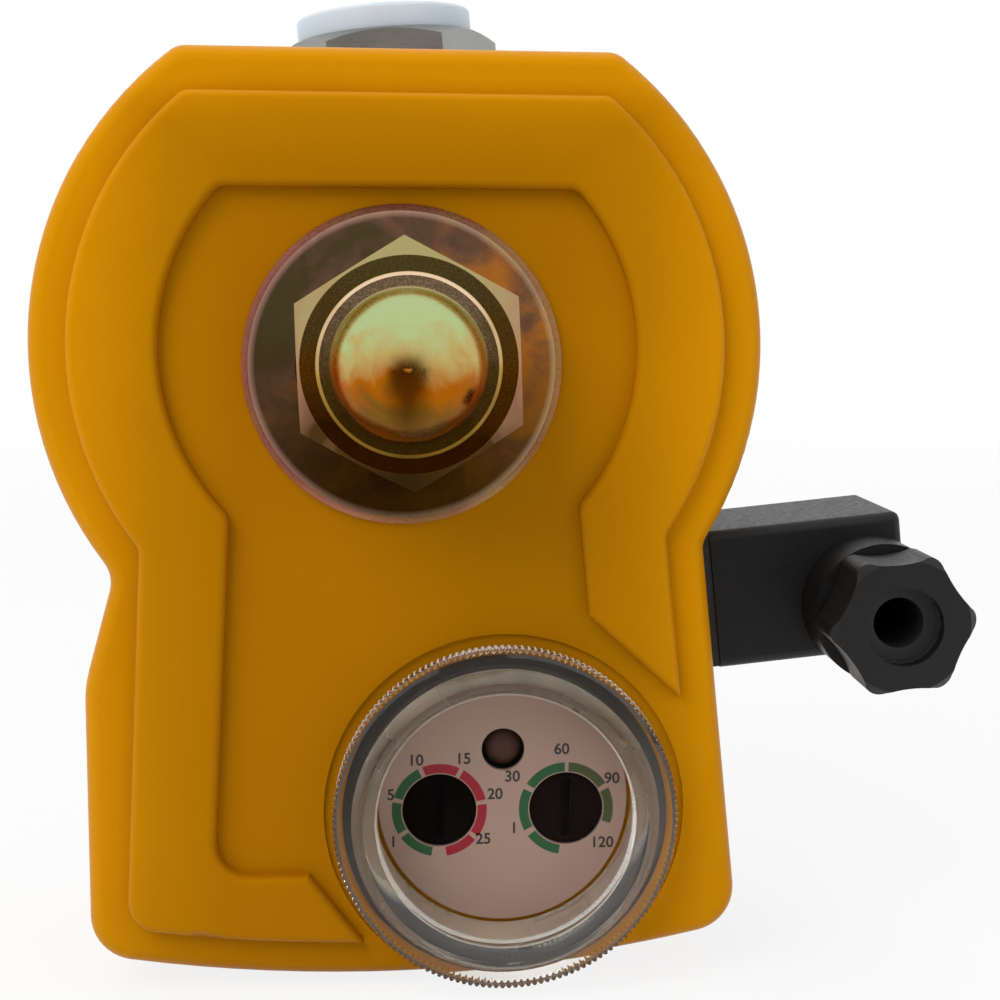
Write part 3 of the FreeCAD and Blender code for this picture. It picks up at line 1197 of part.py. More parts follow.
def make_connector_insert():
    half_y = s.plug_thickness / 2 - s.plug_wall - s.seat_gap
    half_z = s.plug_height / 2 - s.plug_wall - s.seat_gap
    start = plug_start + s.seat_gap
    solid = block("insert_block", (start, s.plug_depth - half_y, -half_z),
                  (start + s.insert_length, s.plug_depth + half_y, half_z))
    hole = bar("insert_hole", s.plug_screw_radius + s.run_gap, start - s.seat_gap, s.insert_length + s.seat_gap * 2,
               y=s.plug_depth)
    slots = [block("insert_%s" % name, low, high) for name, low, high in pin_boxes(s.side_gap / 2)]
    place_plug(cut("insert_cut", solid, hole, *slots), "connector_insert")


def make_connector_screw():
    head_start = plug_end - s.plug_wall / 2 + s.seat_gap / 2
    head = bar("plug_screw_head_solid", s.plug_screw_head, head_start, s.plug_wall * 0.8, y=s.plug_depth)
    shank = bar("plug_screw_shank", s.plug_screw_radius, -s.side_wall / 2, head_start + s.side_wall / 2,
                y=s.plug_depth)
    slot = block("plug_screw_slot",
                 (head_start + s.plug_wall * 0.4, s.plug_depth - s.plug_screw_head, -(s.plug_screw_head / 7)),
                 (head_start + s.plug_wall, s.plug_depth + s.plug_screw_head, s.plug_screw_head / 7))
    place_plug(cut("plug_screw_cut", fused("plug_screw_blank", head, shank), slot), "connector_screw")


def make_gland():
    bush_back = gland_front - s.gland_neck_length + s.gland_neck_length + s.gland_boss / 2 - s.seat_gap
    bush_front = gland_front - s.gland_neck_length + s.side_gap
    bush = cut("bush_cut", rod("bush_solid", s.gland_bush, bush_front, bush_back - bush_front),
               rod("bush_hole", s.bush_bore, bush_front - s.seat_gap, bush_back - bush_front + s.seat_gap * 2))
    place_gland(bush, "gland_bush")
    washer_back = bush_front - s.side_gap - s.seat_gap
    washer_thick = s.side_gap * 3
    washer = cut("gland_washer_cut",
                 rod("gland_washer_solid", s.gland_neck - s.side_gap, washer_back - washer_thick, washer_thick),
                 rod("gland_washer_hole", s.gland_bore, washer_back - washer_thick - s.seat_gap,
                     washer_thick + s.seat_gap * 2))
    place_gland(washer, "gland_washer")
    body = new_body("gland_nut_body")
    profile = new_sketch(body, "gland_nut_profile", offset=-gland_nut_back)
    corner = s.gland_flats / math.sqrt(3.0)
    points = []
    arcs = {}
    for lobe in range(6):
        for side in (-1, 1):
            turn = math.radians(60.0 * lobe)
            reach = corner - s.gland_lobe / 2.6
            spread = s.gland_lobe * 0.8 * side
            points.append((reach * math.cos(turn) - spread * math.sin(turn),
                           reach * math.sin(turn) + spread * math.cos(turn)))
        arcs[2 * lobe] = s.gland_lobe
        arcs[2 * lobe + 1] = -(s.gland_flats * s.gland_flats / (s.gland_hollow * 26))
    closed_loop(profile, points, arcs)
    feature(body, "Pad", "gland_nut_block", profile, s.gland_nut_length)
    socket = circle(new_sketch(body, "gland_nut_socket", offset=-gland_nut_back), ZERO, ZERO,
                    s.gland_neck + s.run_gap)
    feature(body, "Pocket", "gland_nut_thread", socket, gland_nut_back - washer_back + washer_thick + s.seat_gap, True)
    hole = circle(new_sketch(body, "gland_nut_hole", offset=-gland_nut_front), ZERO, ZERO, s.gland_bore)
    feature(body, "Pocket", "gland_nut_bore", hole, s.gland_nut_length)
    rim = corner + s.gland_hollow
    cone = turned("gland_nut_cone", [
        (ZERO, gland_nut_front), (rim - s.gland_chamfer, gland_nut_front), (rim, gland_nut_front + s.gland_chamfer),
        (rim, gland_nut_back - s.gland_chamfer / 2), (rim - s.gland_chamfer / 2, gland_nut_back),
        (ZERO, gland_nut_back)])
    place_gland(common("gland_nut_common", body, cone), "gland_nut")


def check_and_write():
    """Every object must be sound before anything is written."""
    doc.recompute()
    for obj in doc.Objects:
        if "Invalid" in obj.State or "Error" in obj.State:
            raise RuntimeError("%s failed: %s" % (obj.Name, obj.State))
    for obj in NODES:
        if obj.Shape.isNull() or not obj.Shape.isValid():
            raise RuntimeError("%s has no sound shape" % obj.Label)
    os.makedirs("parts", exist_ok=True)
    for obj in NODES:
        obj.Shape.exportStep("parts/%s.step" % obj.Label)
        print("%-26s %8.1f mm3, %d solids" % (obj.Label, obj.Shape.Volume, len(obj.Shape.Solids)))


make_housing_shell()
make_back_cover()
make_cover_screws()
make_coil()
make_armature()
make_valve_body()
make_dust_plug()
make_nut()
make_lens_cap()
make_gasket()
make_dial()
make_knobs()
make_potentiometers()
make_lamp()
make_board()
make_connector_base()
make_connector_pins()
make_connector_gasket()
make_connector_housing()
make_connector_insert()
make_connector_screw()
make_gland()
check_and_write()
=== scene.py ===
import json
import math

import bpy
from mathutils import Matrix, Vector


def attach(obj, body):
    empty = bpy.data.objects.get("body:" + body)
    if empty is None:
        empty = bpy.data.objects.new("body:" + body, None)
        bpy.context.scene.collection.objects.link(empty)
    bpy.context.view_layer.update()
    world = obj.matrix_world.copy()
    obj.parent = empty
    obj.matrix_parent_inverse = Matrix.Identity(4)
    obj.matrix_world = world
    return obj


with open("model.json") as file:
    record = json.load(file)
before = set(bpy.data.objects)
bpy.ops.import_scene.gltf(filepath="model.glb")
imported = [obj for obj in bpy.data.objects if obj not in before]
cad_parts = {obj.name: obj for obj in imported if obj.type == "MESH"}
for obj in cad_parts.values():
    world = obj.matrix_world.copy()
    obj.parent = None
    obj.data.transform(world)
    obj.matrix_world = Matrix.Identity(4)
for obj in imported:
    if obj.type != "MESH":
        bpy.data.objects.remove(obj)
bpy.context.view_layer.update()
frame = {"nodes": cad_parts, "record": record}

MM = 0.001
WHITE = (1.0, 1.0, 1.0)

# Places in the row frame, in millimetres, taken from the part's own construction
COIL = Vector((3.6025, -53.5, -38.833))
HOUSING = COIL + Vector((-1.25, 0.0, -0.3))
WASHER = COIL + Vector((-0.93, 0.0, -0.45))
TIMER = HOUSING + Vector((12.15, 0.0, -52.8))


# Materials

# Sockets of the colour mix node
MIX_FACTOR = 0
MIX_FIRST = 6
MIX_SECOND = 7
MIX_RESULT = 2
OPAQUE = (1.0,)

# The band that most of a noise pattern lies in, and a narrower one
NOISE_LOW = 0.3
NOISE_HIGH = 0.7
NARROW_LOW = 0.35
NARROW_HIGH = 0.65

# Depth of the fine grain of plastics and of the lines on metals, in metres
GRAIN_DEPTH = 0.00004
LINE_DEPTH = 0.00003
PLATED_STRETCH = (900.0, 60.0, 900.0)
METAL_SHADE = 0.85

# Zones of the housing's painted shade, in millimetres from its centre, and the strength shared by its random
# drift and its painted shade
PANEL_SHADE_SIDE = (18.0, 36.0)
PANEL_SHADE_TOP = (22.0, 33.0)
HOUSING_SHADE_RISE = (-70.0, 35.0)
HOUSING_DRIFT_AND_SHADE = 0.10

# Zones of the nut, the washer and the cap: radius in millimetres at which one passes into the next
DOME_EDGE = (8.25, 8.55)
COLLAR_EDGE = (9.85, 10.0)
FACE_EDGE = (11.6, 11.8)
RIM_EDGE = (16.6, 17.9)
WINDOW_EDGE = (14.9, 15.2)
SKIRT_EDGE = (17.45, 17.6)
SKIRT_FRONT = (-2.6, -1.6)
# Painted reflection on the nut and washer: height spans and left-right swing of the darker-below,
# lighter-above colouring; DOME_DRIFT is random plating tone
DOME_REFLECTION_RISE = (-8.0, 8.0)
DOME_DRIFT = 0.14
WASHER_REFLECTION_SWING = 0.16
WASHER_REFLECTION_RISE = (-0.9, 0.35)

# The clear cap
CAP_IOR = 1.49
WINDOW_IOR = 1.08
WINDOW_HAZE = 0.003
FROST_CLOUDING = 0.55
FROST_ROUGHNESS = 0.35
CLEAR_TINT = (0.96, 0.93, 0.88)
FROST_TINT = (0.78, 0.66, 0.50)

# Ramps: place on the ramp and colour
# Housing colour from dark to light: random tone and painted shade
YELLOW_TONE_AND_SHADE_RAMP = (
    (0.0, (0.385, 0.145, 0.0006)),
    (0.5, (0.45, 0.175, 0.0007)),
    (1.0, (0.60, 0.240, 0.0009)),
)
# Nut colours from below to above: plating tints with painted reflection, dark below and light above
DOME_PLATING_AND_REFLECTION_RAMP = (
    (0.20, (0.20, 0.09, 0.010)),
    (0.40, (0.42, 0.115, 0.002)),
    (0.58, (0.52, 0.38, 0.12)),
    (0.75, (0.46, 0.56, 0.25)),
)
COLLAR_PLATING_AND_REFLECTION_RAMP = (
    (0.10, (0.22, 0.12, 0.012)),
    (0.45, (0.42, 0.26, 0.06)),
    (0.90, (0.86, 0.62, 0.40)),
)
FACE_PLATING_AND_REFLECTION_RAMP = (
    (0.10, (0.16, 0.045, 0.002)),
    (0.50, (0.44, 0.19, 0.012)),
    (0.90, (0.36, 0.28, 0.085)),
)
CORNER_PLATING_AND_REFLECTION_RAMP = (
    (0.10, (0.07, 0.035, 0.008)),
    (0.50, (0.42, 0.21, 0.12)),
    (0.90, (0.42, 0.35, 0.15)),
)
# Washer colours: plating tints with painted reflection, a lighter upper half and a darker lower half
WASHER_UPPER_PLATING_AND_REFLECTION_RAMP = (
    (0.30, (0.072, 0.052, 0.020)),
    (0.46, (0.125, 0.066, 0.040)),
    (0.58, (0.19, 0.086, 0.043)),
    (0.74, (0.44, 0.15, 0.022)),
)
WASHER_LOWER_PLATING_AND_REFLECTION_RAMP = (
    (0.35, (0.055, 0.022, 0.004)),
    (0.70, (0.11, 0.046, 0.004)),
)
WASHER_RIM_RAMP = (
    (0.35, (0.62, 0.32, 0.28)),
    (0.65, (0.62, 0.46, 0.24)),
)
KNOB_RAMP = (
    (0.0, (0.002, 0.001, 0.001)),
    (1.0, (0.006, 0.003, 0.003)),
)


class Nodes:
    """A node tree with a few short ways to add and join nodes."""

    def __init__(self, tree):
        self.tree = tree
        self.tree.nodes.clear()

    def add(self, kind, **props):
        node = self.tree.nodes.new(kind)
        for key, value in props.items():
            setattr(node, key, value)
        return node

    def link(self, a, b):
        self.tree.links.new(a, b)

    def put(self, socket, value):
        """Joins a socket to an output, or sets it to a constant."""
        if hasattr(value, "links"):
            self.link(value, socket)
        else:
            socket.default_value = value

    def put_color(self, socket, color):
        """Joins a socket to an output, or sets it to an opaque colour."""
        self.put(socket, color if hasattr(color, "links") else tuple(color) + OPAQUE)

    def math(self, kind, *values):
        node = self.add("ShaderNodeMath", operation=kind)
        for socket, value in zip(node.inputs, values):
            self.put(socket, value)
        return node.outputs[0]

    def vector(self, kind, *values):
        node = self.add("ShaderNodeVectorMath", operation=kind)
        for socket, value in zip(node.inputs, values):
            self.put(socket, value)
        return node.outputs["Value" if kind == "LENGTH" else "Vector"]

    def scaled(self, x, y, z):
        """The place, stretched by a factor along each axis."""
        return self.vector("MULTIPLY", self.place, (x, y, z))

    def noise(self, scale, detail=3.0, rough=0.5, at=None, distortion=0.0):
        node = self.add("ShaderNodeTexNoise")
        self.link(at or self.place, node.inputs["Vector"])
        node.inputs["Scale"].default_value = scale
        node.inputs["Detail"].default_value = detail
        node.inputs["Roughness"].default_value = rough
        node.inputs["Distortion"].default_value = distortion
        return node.outputs["Fac"]

    def spread(self, value, low, high, out_low=0.0, out_high=1.0):
        node = self.add("ShaderNodeMapRange")
        self.put(node.inputs["Value"], value)
        node.inputs["From Min"].default_value = low
        node.inputs["From Max"].default_value = high
        node.inputs["To Min"].default_value = out_low
        node.inputs["To Max"].default_value = out_high
        return node.outputs["Result"]

    def grain(self, value, out_low, out_high):
        """A noise pattern, spread from one value to another."""
        return self.spread(value, NOISE_LOW, NOISE_HIGH, out_low, out_high)

    def fall(self, value, edge):
        """One before an edge and nothing behind it."""
        return self.spread(value, *edge, 1.0, 0.0)

    def ramp(self, value, stops):
        node = self.add("ShaderNodeValToRGB")
        self.put(node.inputs["Fac"], value)
        line = node.color_ramp
        while len(line.elements) < len(stops):
            line.elements.new(0.5)
        for element, (spot, color) in zip(line.elements, stops):
            element.position = spot
            element.color = tuple(color) + OPAQUE
        return node.outputs["Color"]

    def mix(self, factor, a, b):
        node = self.add("ShaderNodeMix", data_type="RGBA")
        self.put(node.inputs[MIX_FACTOR], factor)
        self.put_color(node.inputs[MIX_FIRST], a)
        self.put_color(node.inputs[MIX_SECOND], b)
        return node.outputs[MIX_RESULT]

    def axis(self, name, at=None):
        node = self.add("ShaderNodeSeparateXYZ")
        self.link(at or self.place, node.inputs[0])
        return node.outputs[name]

    def bump(self, height, strength, depth):
        node = self.add("ShaderNodeBump")
        node.inputs["Strength"].default_value = strength
        node.inputs["Distance"].default_value = depth
        self.link(height, node.inputs["Height"])
        return node.outputs["Normal"]


class Paint(Nodes):
    """A material around one Principled shader."""

    def __init__(self, name):
        self.mat = bpy.data.materials.new(name)
        self.mat.use_nodes = True
        super().__init__(self.mat.node_tree)
        self.out = self.add("ShaderNodeOutputMaterial")
        self.bsdf = self.add("ShaderNodeBsdfPrincipled")
        self.link(self.bsdf.outputs["BSDF"], self.out.inputs["Surface"])
        self.place = self.add("ShaderNodeTexCoord").outputs["Object"]

    def set(self, **values):
        for key, value in values.items():
            self.put(self.bsdf.inputs[key.replace("_", " ")], value)

    def away(self, name, centre):
        """How far the place lies from a point along one axis, in metres."""
        return self.axis(name, self.vector("SUBTRACT", self.place, tuple(centre * MM)))

    def offset(self, name, centre):
        """How far the place lies from a point along one axis, in millimetres."""
        return self.math("MULTIPLY", self.away(name, centre), 1.0 / MM)

    def radius(self, centre):
        """Distance from a line along Y through a point, in millimetres."""
        x = self.away("X", centre)
        z = self.away("Z", centre)
        square = self.math("ADD", self.math("MULTIPLY", x, x), self.math("MULTIPLY", z, z))
        return self.math("MULTIPLY", self.math("SQRT", square), 1.0 / MM)

    def angle(self, centre):
        """Angle about a line along Y through a point."""
        return self.math("ARCTAN2", self.away("Z", centre), self.away("X", centre))


def plastic(name, color, rough, grain=0.04, shift=0.12, scale=900.0, **extra):
    """Moulded plastic: slow colour drift, fine grain in gloss and surface."""
    p = Paint(name)
    drift = p.noise(scale=28.0, detail=4.0)
    fine = p.noise(scale)
    low = tuple(c * (1.0 - shift) for c in color)
    high = tuple(min(1.0, c * (1.0 + shift)) for c in color)
    p.set(
        Base_Color=p.ramp(drift, ((NOISE_LOW, low), (NOISE_HIGH, high))),
        Roughness=p.grain(fine, rough - grain, rough + grain),
        Normal=p.bump(fine, strength=0.12, depth=GRAIN_DEPTH),
    )
    p.set(**extra)
    return p


def metal(name, color, rough, grain=0.08, stretch=(300.0, 300.0, 300.0)):
    """Machined metal: fine lines in gloss and surface."""
    p = Paint(name)
    lines = p.noise(scale=6.0, detail=4.0, at=p.scaled(*stretch))
    patch = p.noise(scale=60.0, detail=4.0)
    low = tuple(c * METAL_SHADE for c in color)
    p.set(
        Base_Color=p.ramp(patch, ((NOISE_LOW, low), (NOISE_HIGH, color))),
        Metallic=1.0,
        Roughness=p.grain(lines, rough - grain, rough + grain),
        Normal=p.bump(lines, strength=0.15, depth=LINE_DEPTH),
    )
    return p


def yellow_plastic():
    """Yellow moulding with a random tone drift and painted shade: darker inside the band and towards the
    foot, lighter at the margin and the top.
    """
    p = Paint("yellow_plastic")
    height = p.offset("Z", HOUSING)
    side = p.spread(p.math("ABSOLUTE", p.offset("X", HOUSING)), *PANEL_SHADE_SIDE)
    # Painted shade: lighter outside the band, darker on the panel inside it
    painted_margin_light = p.math("MAXIMUM", side, p.spread(height, *PANEL_SHADE_TOP))
    drift = p.spread(p.noise(scale=22.0, detail=4.0), NARROW_LOW, NARROW_HIGH, -HOUSING_DRIFT_AND_SHADE, HOUSING_DRIFT_AND_SHADE)
    # Painted shade: darker towards the foot, lighter towards the top
    painted_height_shade = p.spread(height, *HOUSING_SHADE_RISE, -HOUSING_DRIFT_AND_SHADE, HOUSING_DRIFT_AND_SHADE)
    tone = p.math("ADD", p.math("ADD", painted_margin_light, drift), painted_height_shade)
    fine = p.noise(scale=1500.0)
    p.set(
        Base_Color=p.ramp(tone, YELLOW_TONE_AND_SHADE_RAMP),
        Roughness=p.grain(fine, 0.34, 0.44),
        Specular_IOR_Level=0.34,
        Specular_Tint=(1.0, 0.72, 0.04, 1.0),
        Normal=p.bump(fine, strength=0.10, depth=GRAIN_DEPTH),
    )
    return p


def plated_nut():
    """Yellow-plated nut: plating colours laid out as painted reflection, green-gold above, orange at the
    sides and dark brown below.
    """
    p = Paint("plated_nut")
    radius = p.radius(COIL)
    patch = p.noise(scale=150.0, detail=4.0, rough=0.55, distortion=0.8)
    drift = p.grain(patch, -DOME_DRIFT, DOME_DRIFT)
    # Painted reflection: the dome, collar, faces and corners darken towards the bottom and lighten towards
    # the top
    height = p.math("ADD", p.spread(p.offset("Z", COIL), *DOME_REFLECTION_RISE), drift)
    side = p.math("ADD", p.spread(p.math("SINE", p.angle(COIL)), -1.0, 1.0), drift)
    base = p.mix(p.spread(radius, *DOME_EDGE), p.ramp(height, DOME_PLATING_AND_REFLECTION_RAMP), p.ramp(side, COLLAR_PLATING_AND_REFLECTION_RAMP))
    base = p.mix(p.spread(radius, *COLLAR_EDGE), base, p.ramp(side, FACE_PLATING_AND_REFLECTION_RAMP))
    base = p.mix(p.spread(radius, *FACE_EDGE), base, p.ramp(side, CORNER_PLATING_AND_REFLECTION_RAMP))
    lines = p.noise(scale=5.0, at=p.scaled(*PLATED_STRETCH))
    p.set(
        Base_Color=base,
        Metallic=1.0,
        Roughness=p.grain(lines, 0.16, 0.28),
        Normal=p.bump(lines, strength=0.06, depth=LINE_DEPTH),
    )
    return p


def plated_washer():
    """Duller washer: brown plating with painted reflection, darker below and lighter above, olive on the
    left, orange on the right, and a pink rim.
    """
    p = Paint("plated_washer")
    angle = p.angle(WASHER)
    patch = p.noise(scale=120.0, detail=5.0, rough=0.6, distortion=1.0)
    # Painted reflection: colour swings from left to right and from the darker lower half to the lighter
    # upper half
    patch_and_reflection = p.math("ADD", patch, p.math("MULTIPLY", p.math("COSINE", angle), WASHER_REFLECTION_SWING))
    high = p.spread(p.math("SINE", angle), *WASHER_REFLECTION_RISE)
    body = p.mix(high, p.ramp(patch_and_reflection, WASHER_LOWER_PLATING_AND_REFLECTION_RAMP), p.ramp(patch_and_reflection, WASHER_UPPER_PLATING_AND_REFLECTION_RAMP))
    lines = p.noise(scale=5.0, at=p.scaled(*PLATED_STRETCH))
    p.set(
        Base_Color=p.mix(p.spread(p.radius(WASHER), *RIM_EDGE), body, p.ramp(patch_and_reflection, WASHER_RIM_RAMP)),
        Metallic=1.0,
        Roughness=p.grain(lines, 0.26, 0.40),
        Normal=p.bump(lines, strength=0.10, depth=LINE_DEPTH),
    )
    return p


def clear_plastic():
    """Clear cap: a thin-looking window, a thick rounded bezel and rim, and a frosted skirt."""
    p = Paint("clear_plastic")
    radius = p.radius(TIMER)
    haze = p.noise(scale=220.0)
    window = p.fall(radius, WINDOW_EDGE)
    thick = p.math("SUBTRACT", 1.0, window)
    skirt = p.math("MULTIPLY", p.spread(p.offset("Y", TIMER), *SKIRT_FRONT), p.fall(radius, SKIRT_EDGE))
    streaks = p.noise(scale=90.0, at=p.scaled(1.0, 0.05, 1.0))
    frost = p.math("MULTIPLY", skirt, p.spread(streaks, NARROW_LOW, NARROW_HIGH, 0.4, 1.0))
    fresnel = p.add("ShaderNodeFresnel")
    fresnel.inputs["IOR"].default_value = WINDOW_IOR
    thin = p.math("ADD", fresnel.outputs[0], p.grain(haze, 0.0, WINDOW_HAZE))
    p.set(
        Base_Color=p.mix(frost, CLEAR_TINT, FROST_TINT),
        Metallic=window,
        Transmission_Weight=p.math("SUBTRACT", thick, p.math("MULTIPLY", frost, FROST_CLOUDING)),
        IOR=CAP_IOR,
        Roughness=p.math("ADD", p.grain(haze, 0.01, 0.04), p.math("MULTIPLY", frost, FROST_ROUGHNESS)),
        Alpha=p.math("MAXIMUM", thick, thin),
    )
    return p


def knob_plastic():
    """Nearly black knobs; the right one is a little smoky."""
    p = Paint("knob_plastic")
    fine = p.noise(scale=500.0, detail=4.0)
    tone = p.math("ADD", p.spread(p.offset("X", TIMER), -1.0, 1.0), p.grain(fine, -0.25, 0.25))
    p.set(
        Base_Color=p.ramp(tone, KNOB_RAMP),
        Roughness=p.grain(fine, 0.55, 0.70),
        Specular_IOR_Level=0.02,
    )
    return p


MATERIALS = {
    "yellow_housing": yellow_plastic(),
    "black_plastic": plastic("black_plastic", (0.0055, 0.0057, 0.0062), rough=0.45, grain=0.08, shift=0.1,
                             scale=1400.0, Specular_IOR_Level=0.35),
    "dark_cover": plastic("dark_cover", (0.03, 0.03, 0.03), rough=0.5),
    "nickel_brass": metal("nickel_brass", (0.34, 0.34, 0.32), rough=0.34, stretch=(90.0, 90.0, 1200.0)),
    "stainless": metal("stainless", (0.58, 0.58, 0.57), rough=0.25),
    "plated_steel": plated_nut(),
    "zinc_steel": metal("zinc_steel", (0.62, 0.63, 0.65), rough=0.3),
    "copper": metal("copper", (0.75, 0.36, 0.2), rough=0.25),
    "copper_wire": metal("copper_wire", (0.55, 0.2, 0.07), rough=0.3, stretch=(40.0, 2500.0, 40.0)),
    "bobbin_plastic": plastic("bobbin_plastic", (0.7, 0.68, 0.6), rough=0.5),
    "seal_rubber": plastic("seal_rubber", (0.018, 0.018, 0.018), rough=0.65, grain=0.08),
    "clear_cap": clear_plastic(),
    "dust_plug": plastic("dust_plug_plastic", (0.55, 0.64, 0.74), rough=0.35, grain=0.05, shift=0.04,
                         scale=700.0, Subsurface_Weight=0.5, Subsurface_Radius=(0.004, 0.005, 0.006),
                         Subsurface_Scale=1.0),
    # The printed dial's colour is darkened throughout as painted shade of the cap over it
    "dial_print": plastic("printed_dial", (0.39, 0.265, 0.215), rough=0.55, grain=0.05, shift=0.03,
                          scale=1200.0, Specular_IOR_Level=0.15),
    "knob_plastic": knob_plastic(),
    "lamp_lens": plastic("lamp_lens", (0.075, 0.036, 0.026), rough=0.50, Specular_IOR_Level=0.10),
    "pot_case": plastic("pot_case", (0.03, 0.08, 0.3), rough=0.4),
    "circuit_board": plastic("circuit_board", (0.02, 0.13, 0.04), rough=0.35),
    "insert_plastic": plastic("insert_plastic", (0.02, 0.02, 0.022), rough=0.5),
}
OWN_MATERIAL = {"nut_washer": plated_washer()}
SLOT_OF = {entry["node"]: entry["material_slot"] for entry in frame["record"]["subparts"]}
SHARP_ANGLE = 30.0


def dress_nodes():
    """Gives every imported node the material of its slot."""
    for name, node in frame["nodes"].items():
        node.data.materials.clear()
        node.data.materials.append(OWN_MATERIAL.get(name, MATERIALS[SLOT_OF[name]]).mat)


def smooth_nodes():
    """Smooth shading that keeps the sharp edges."""
    for node in frame["nodes"].values():
        node.data.shade_smooth()
        node.data.set_sharp_from_angle(angle=math.radians(SHARP_ANGLE))


# Dial print, in millimetres and in degrees clockwise from the top

DIAL_FACE = 5.2
INK_LIFT = 0.02
ARC_OUTER = 5.75
ARC_INNER = 4.62
ARC_STEP = 3
FEWEST_STEPS = 4
LEFT_AXIS = TIMER + Vector((-7.7, DIAL_FACE - INK_LIFT, -1.35))
RIGHT_AXIS = TIMER + Vector((7.7, DIAL_FACE - INK_LIFT, -1.35))
DIGIT_SIZE = 1.9
INK_SPREAD = 0.035

GREEN_INK = plastic("green_ink", (0.010, 0.088, 0.026), rough=0.5)
CRIMSON_INK = plastic("crimson_ink", (0.30, 0.003, 0.012), rough=0.5)
OLIVE_INK = plastic("olive_ink", (0.055, 0.078, 0.016), rough=0.5)
BLACK_INK = plastic("black_ink", (0.02, 0.02, 0.022), rough=0.5)

# Each arc: start, end and ink
ON_TIME_ARCS = (
    (-170, -126, GREEN_INK),
    (-120, -79, GREEN_INK),
    (-73, -27, GREEN_INK),
    (-21, 25, CRIMSON_INK),
    (31, 77, CRIMSON_INK),
    (83, 125, CRIMSON_INK),
    (131, 171, CRIMSON_INK),
)
CYCLE_TIME_ARCS = (
    (-171, -126, GREEN_INK),
    (-118, -64, GREEN_INK),
    (-57, -2, GREEN_INK),
    (3, 57, OLIVE_INK),
    (64, 110, OLIVE_INK),
)

# Each number: its place right of and above the middle of the dial
ON_TIME_LABELS = (
    ("1", -13.28, -5.26),
    ("5", -13.55, 0.6),
    ("10", -10.54, 4.84),
    ("15", -4.8, 4.97),
    ("20", -0.96, 0.53),
    ("25", -2.37, -5.04),
)
CYCLE_TIME_LABELS = (
    ("1", 1.37, -3.76),
    ("30", 1.14, 2.69),
    ("60", 7.13, 6.01),
    ("90", 13.3, 2.3),
    ("120", 12.15, -5.72),
)
SCALES = (
    ("on_time", LEFT_AXIS, ON_TIME_ARCS, ON_TIME_LABELS),
    ("cycle_time", RIGHT_AXIS, CYCLE_TIME_ARCS, CYCLE_TIME_LABELS),
)


def ring_piece(name, centre, start, end, paint, body):
    """A flat printed arc."""
    steps = max(FEWEST_STEPS, int((end - start) / ARC_STEP))
    verts = []
    for step in range(steps + 1):
        turn = math.radians(start + (end - start) * step / steps)
        for radius in (ARC_INNER, ARC_OUTER):
            verts.append((centre + Vector((radius * math.sin(turn), 0.0, radius * math.cos(turn)))) * MM)
    faces = [(2 * i, 2 * i + 1, 2 * i + 3, 2 * i + 2) for i in range(steps)]
    mesh = bpy.data.meshes.new(name)
    mesh.from_pydata(verts, [], faces)
    obj = bpy.data.objects.new(name, mesh)
    bpy.context.scene.collection.objects.link(obj)
    mesh.materials.append(paint.mat)
    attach(obj, body)


def text_piece(name, words, centre, paint, body):
    """Printed text standing in the XZ plane and centred on a point."""
    curve = bpy.data.curves.new(name, "FONT")
    curve.body = words
    curve.size = DIGIT_SIZE * MM
    curve.offset = INK_SPREAD * MM
    curve.align_x = "CENTER"
    curve.align_y = "CENTER"
    obj = bpy.data.objects.new(name + "_curve", curve)
    bpy.context.scene.collection.objects.link(obj)
    bpy.context.view_layer.update()
    mesh = bpy.data.meshes.new_from_object(obj.evaluated_get(bpy.context.evaluated_depsgraph_get()))
    bpy.data.objects.remove(obj)
    bpy.data.curves.remove(curve)
    mesh.transform(Matrix.Translation(centre * MM) @ Matrix.Rotation(math.radians(90.0), 4, "X"))
    mesh.name = name
    solid = bpy.data.objects.new(name, mesh)
    bpy.context.scene.collection.objects.link(solid)
    mesh.materials.clear()
    mesh.materials.append(paint.mat)
    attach(solid, body)


def print_dial():
    """Prints both scales on the dial plate."""
    for name, centre, arcs, labels in SCALES:
        for index, (start, end, ink) in enumerate(arcs):
            ring_piece("%s_arc_%d" % (name, index), centre, start, end, ink, "housing")
        for word, right, up in labels:
            spot = TIMER + Vector((right, DIAL_FACE - INK_LIFT, up))
            text_piece("%s_label_%s" % (name, word), word, spot, BLACK_INK, "housing")


# Stage, light and camera, in metres

FLOOR_SIZE = 6.0
FLOOR_LEVEL = -0.1135
FLOOR_RAMP = (
    (NOISE_LOW, (0.80, 0.80, 0.80)),
    (NOISE_HIGH, (0.84, 0.84, 0.84)),
)

# Over these distances the floor fades into the backdrop, by these shares
FADE_REACH = (0.15, 0.9)
FADE_SHARE = (0.85, 1.0)

# The darker room in front, as metal and glass see it on the floor
DARK_ROOM = (0.08, 0.062, 0.045)
ROOM_START = 0.07
ROOM_SPREAD = 0.55
ROOM_EDGE = (-0.03, 0.03)

# The same room in the world, by direction, and the even light of the world
ROOM_SIDE = (0.20, 0.50)
ROOM_TOP = (0.05, 0.40)
ROOM_FRONT = (-0.85, -0.40)
SKY_RISE = (-0.8, 0.8)
SKY_LOW = (0.26, 0.26, 0.27)
SKY_HIGH = (0.46, 0.46, 0.46)

# Each lamp: name, place, target, width, height, power in watts and colour
LAMPS = (
    ("key", (-0.45, -0.55, 0.55), (0.0, -0.05, -0.05), 0.6, 0.6, 5.2, (1.0, 0.98, 0.95)),
    ("fill", (0.7, -0.6, 0.1), (0.0, -0.05, -0.05), 0.6, 0.8, 1.6, (0.95, 0.97, 1.0)),
    ("top", (0.0, 0.1, 0.7), (0.0, -0.03, -0.05), 0.9, 0.6, 2.6, WHITE),
)

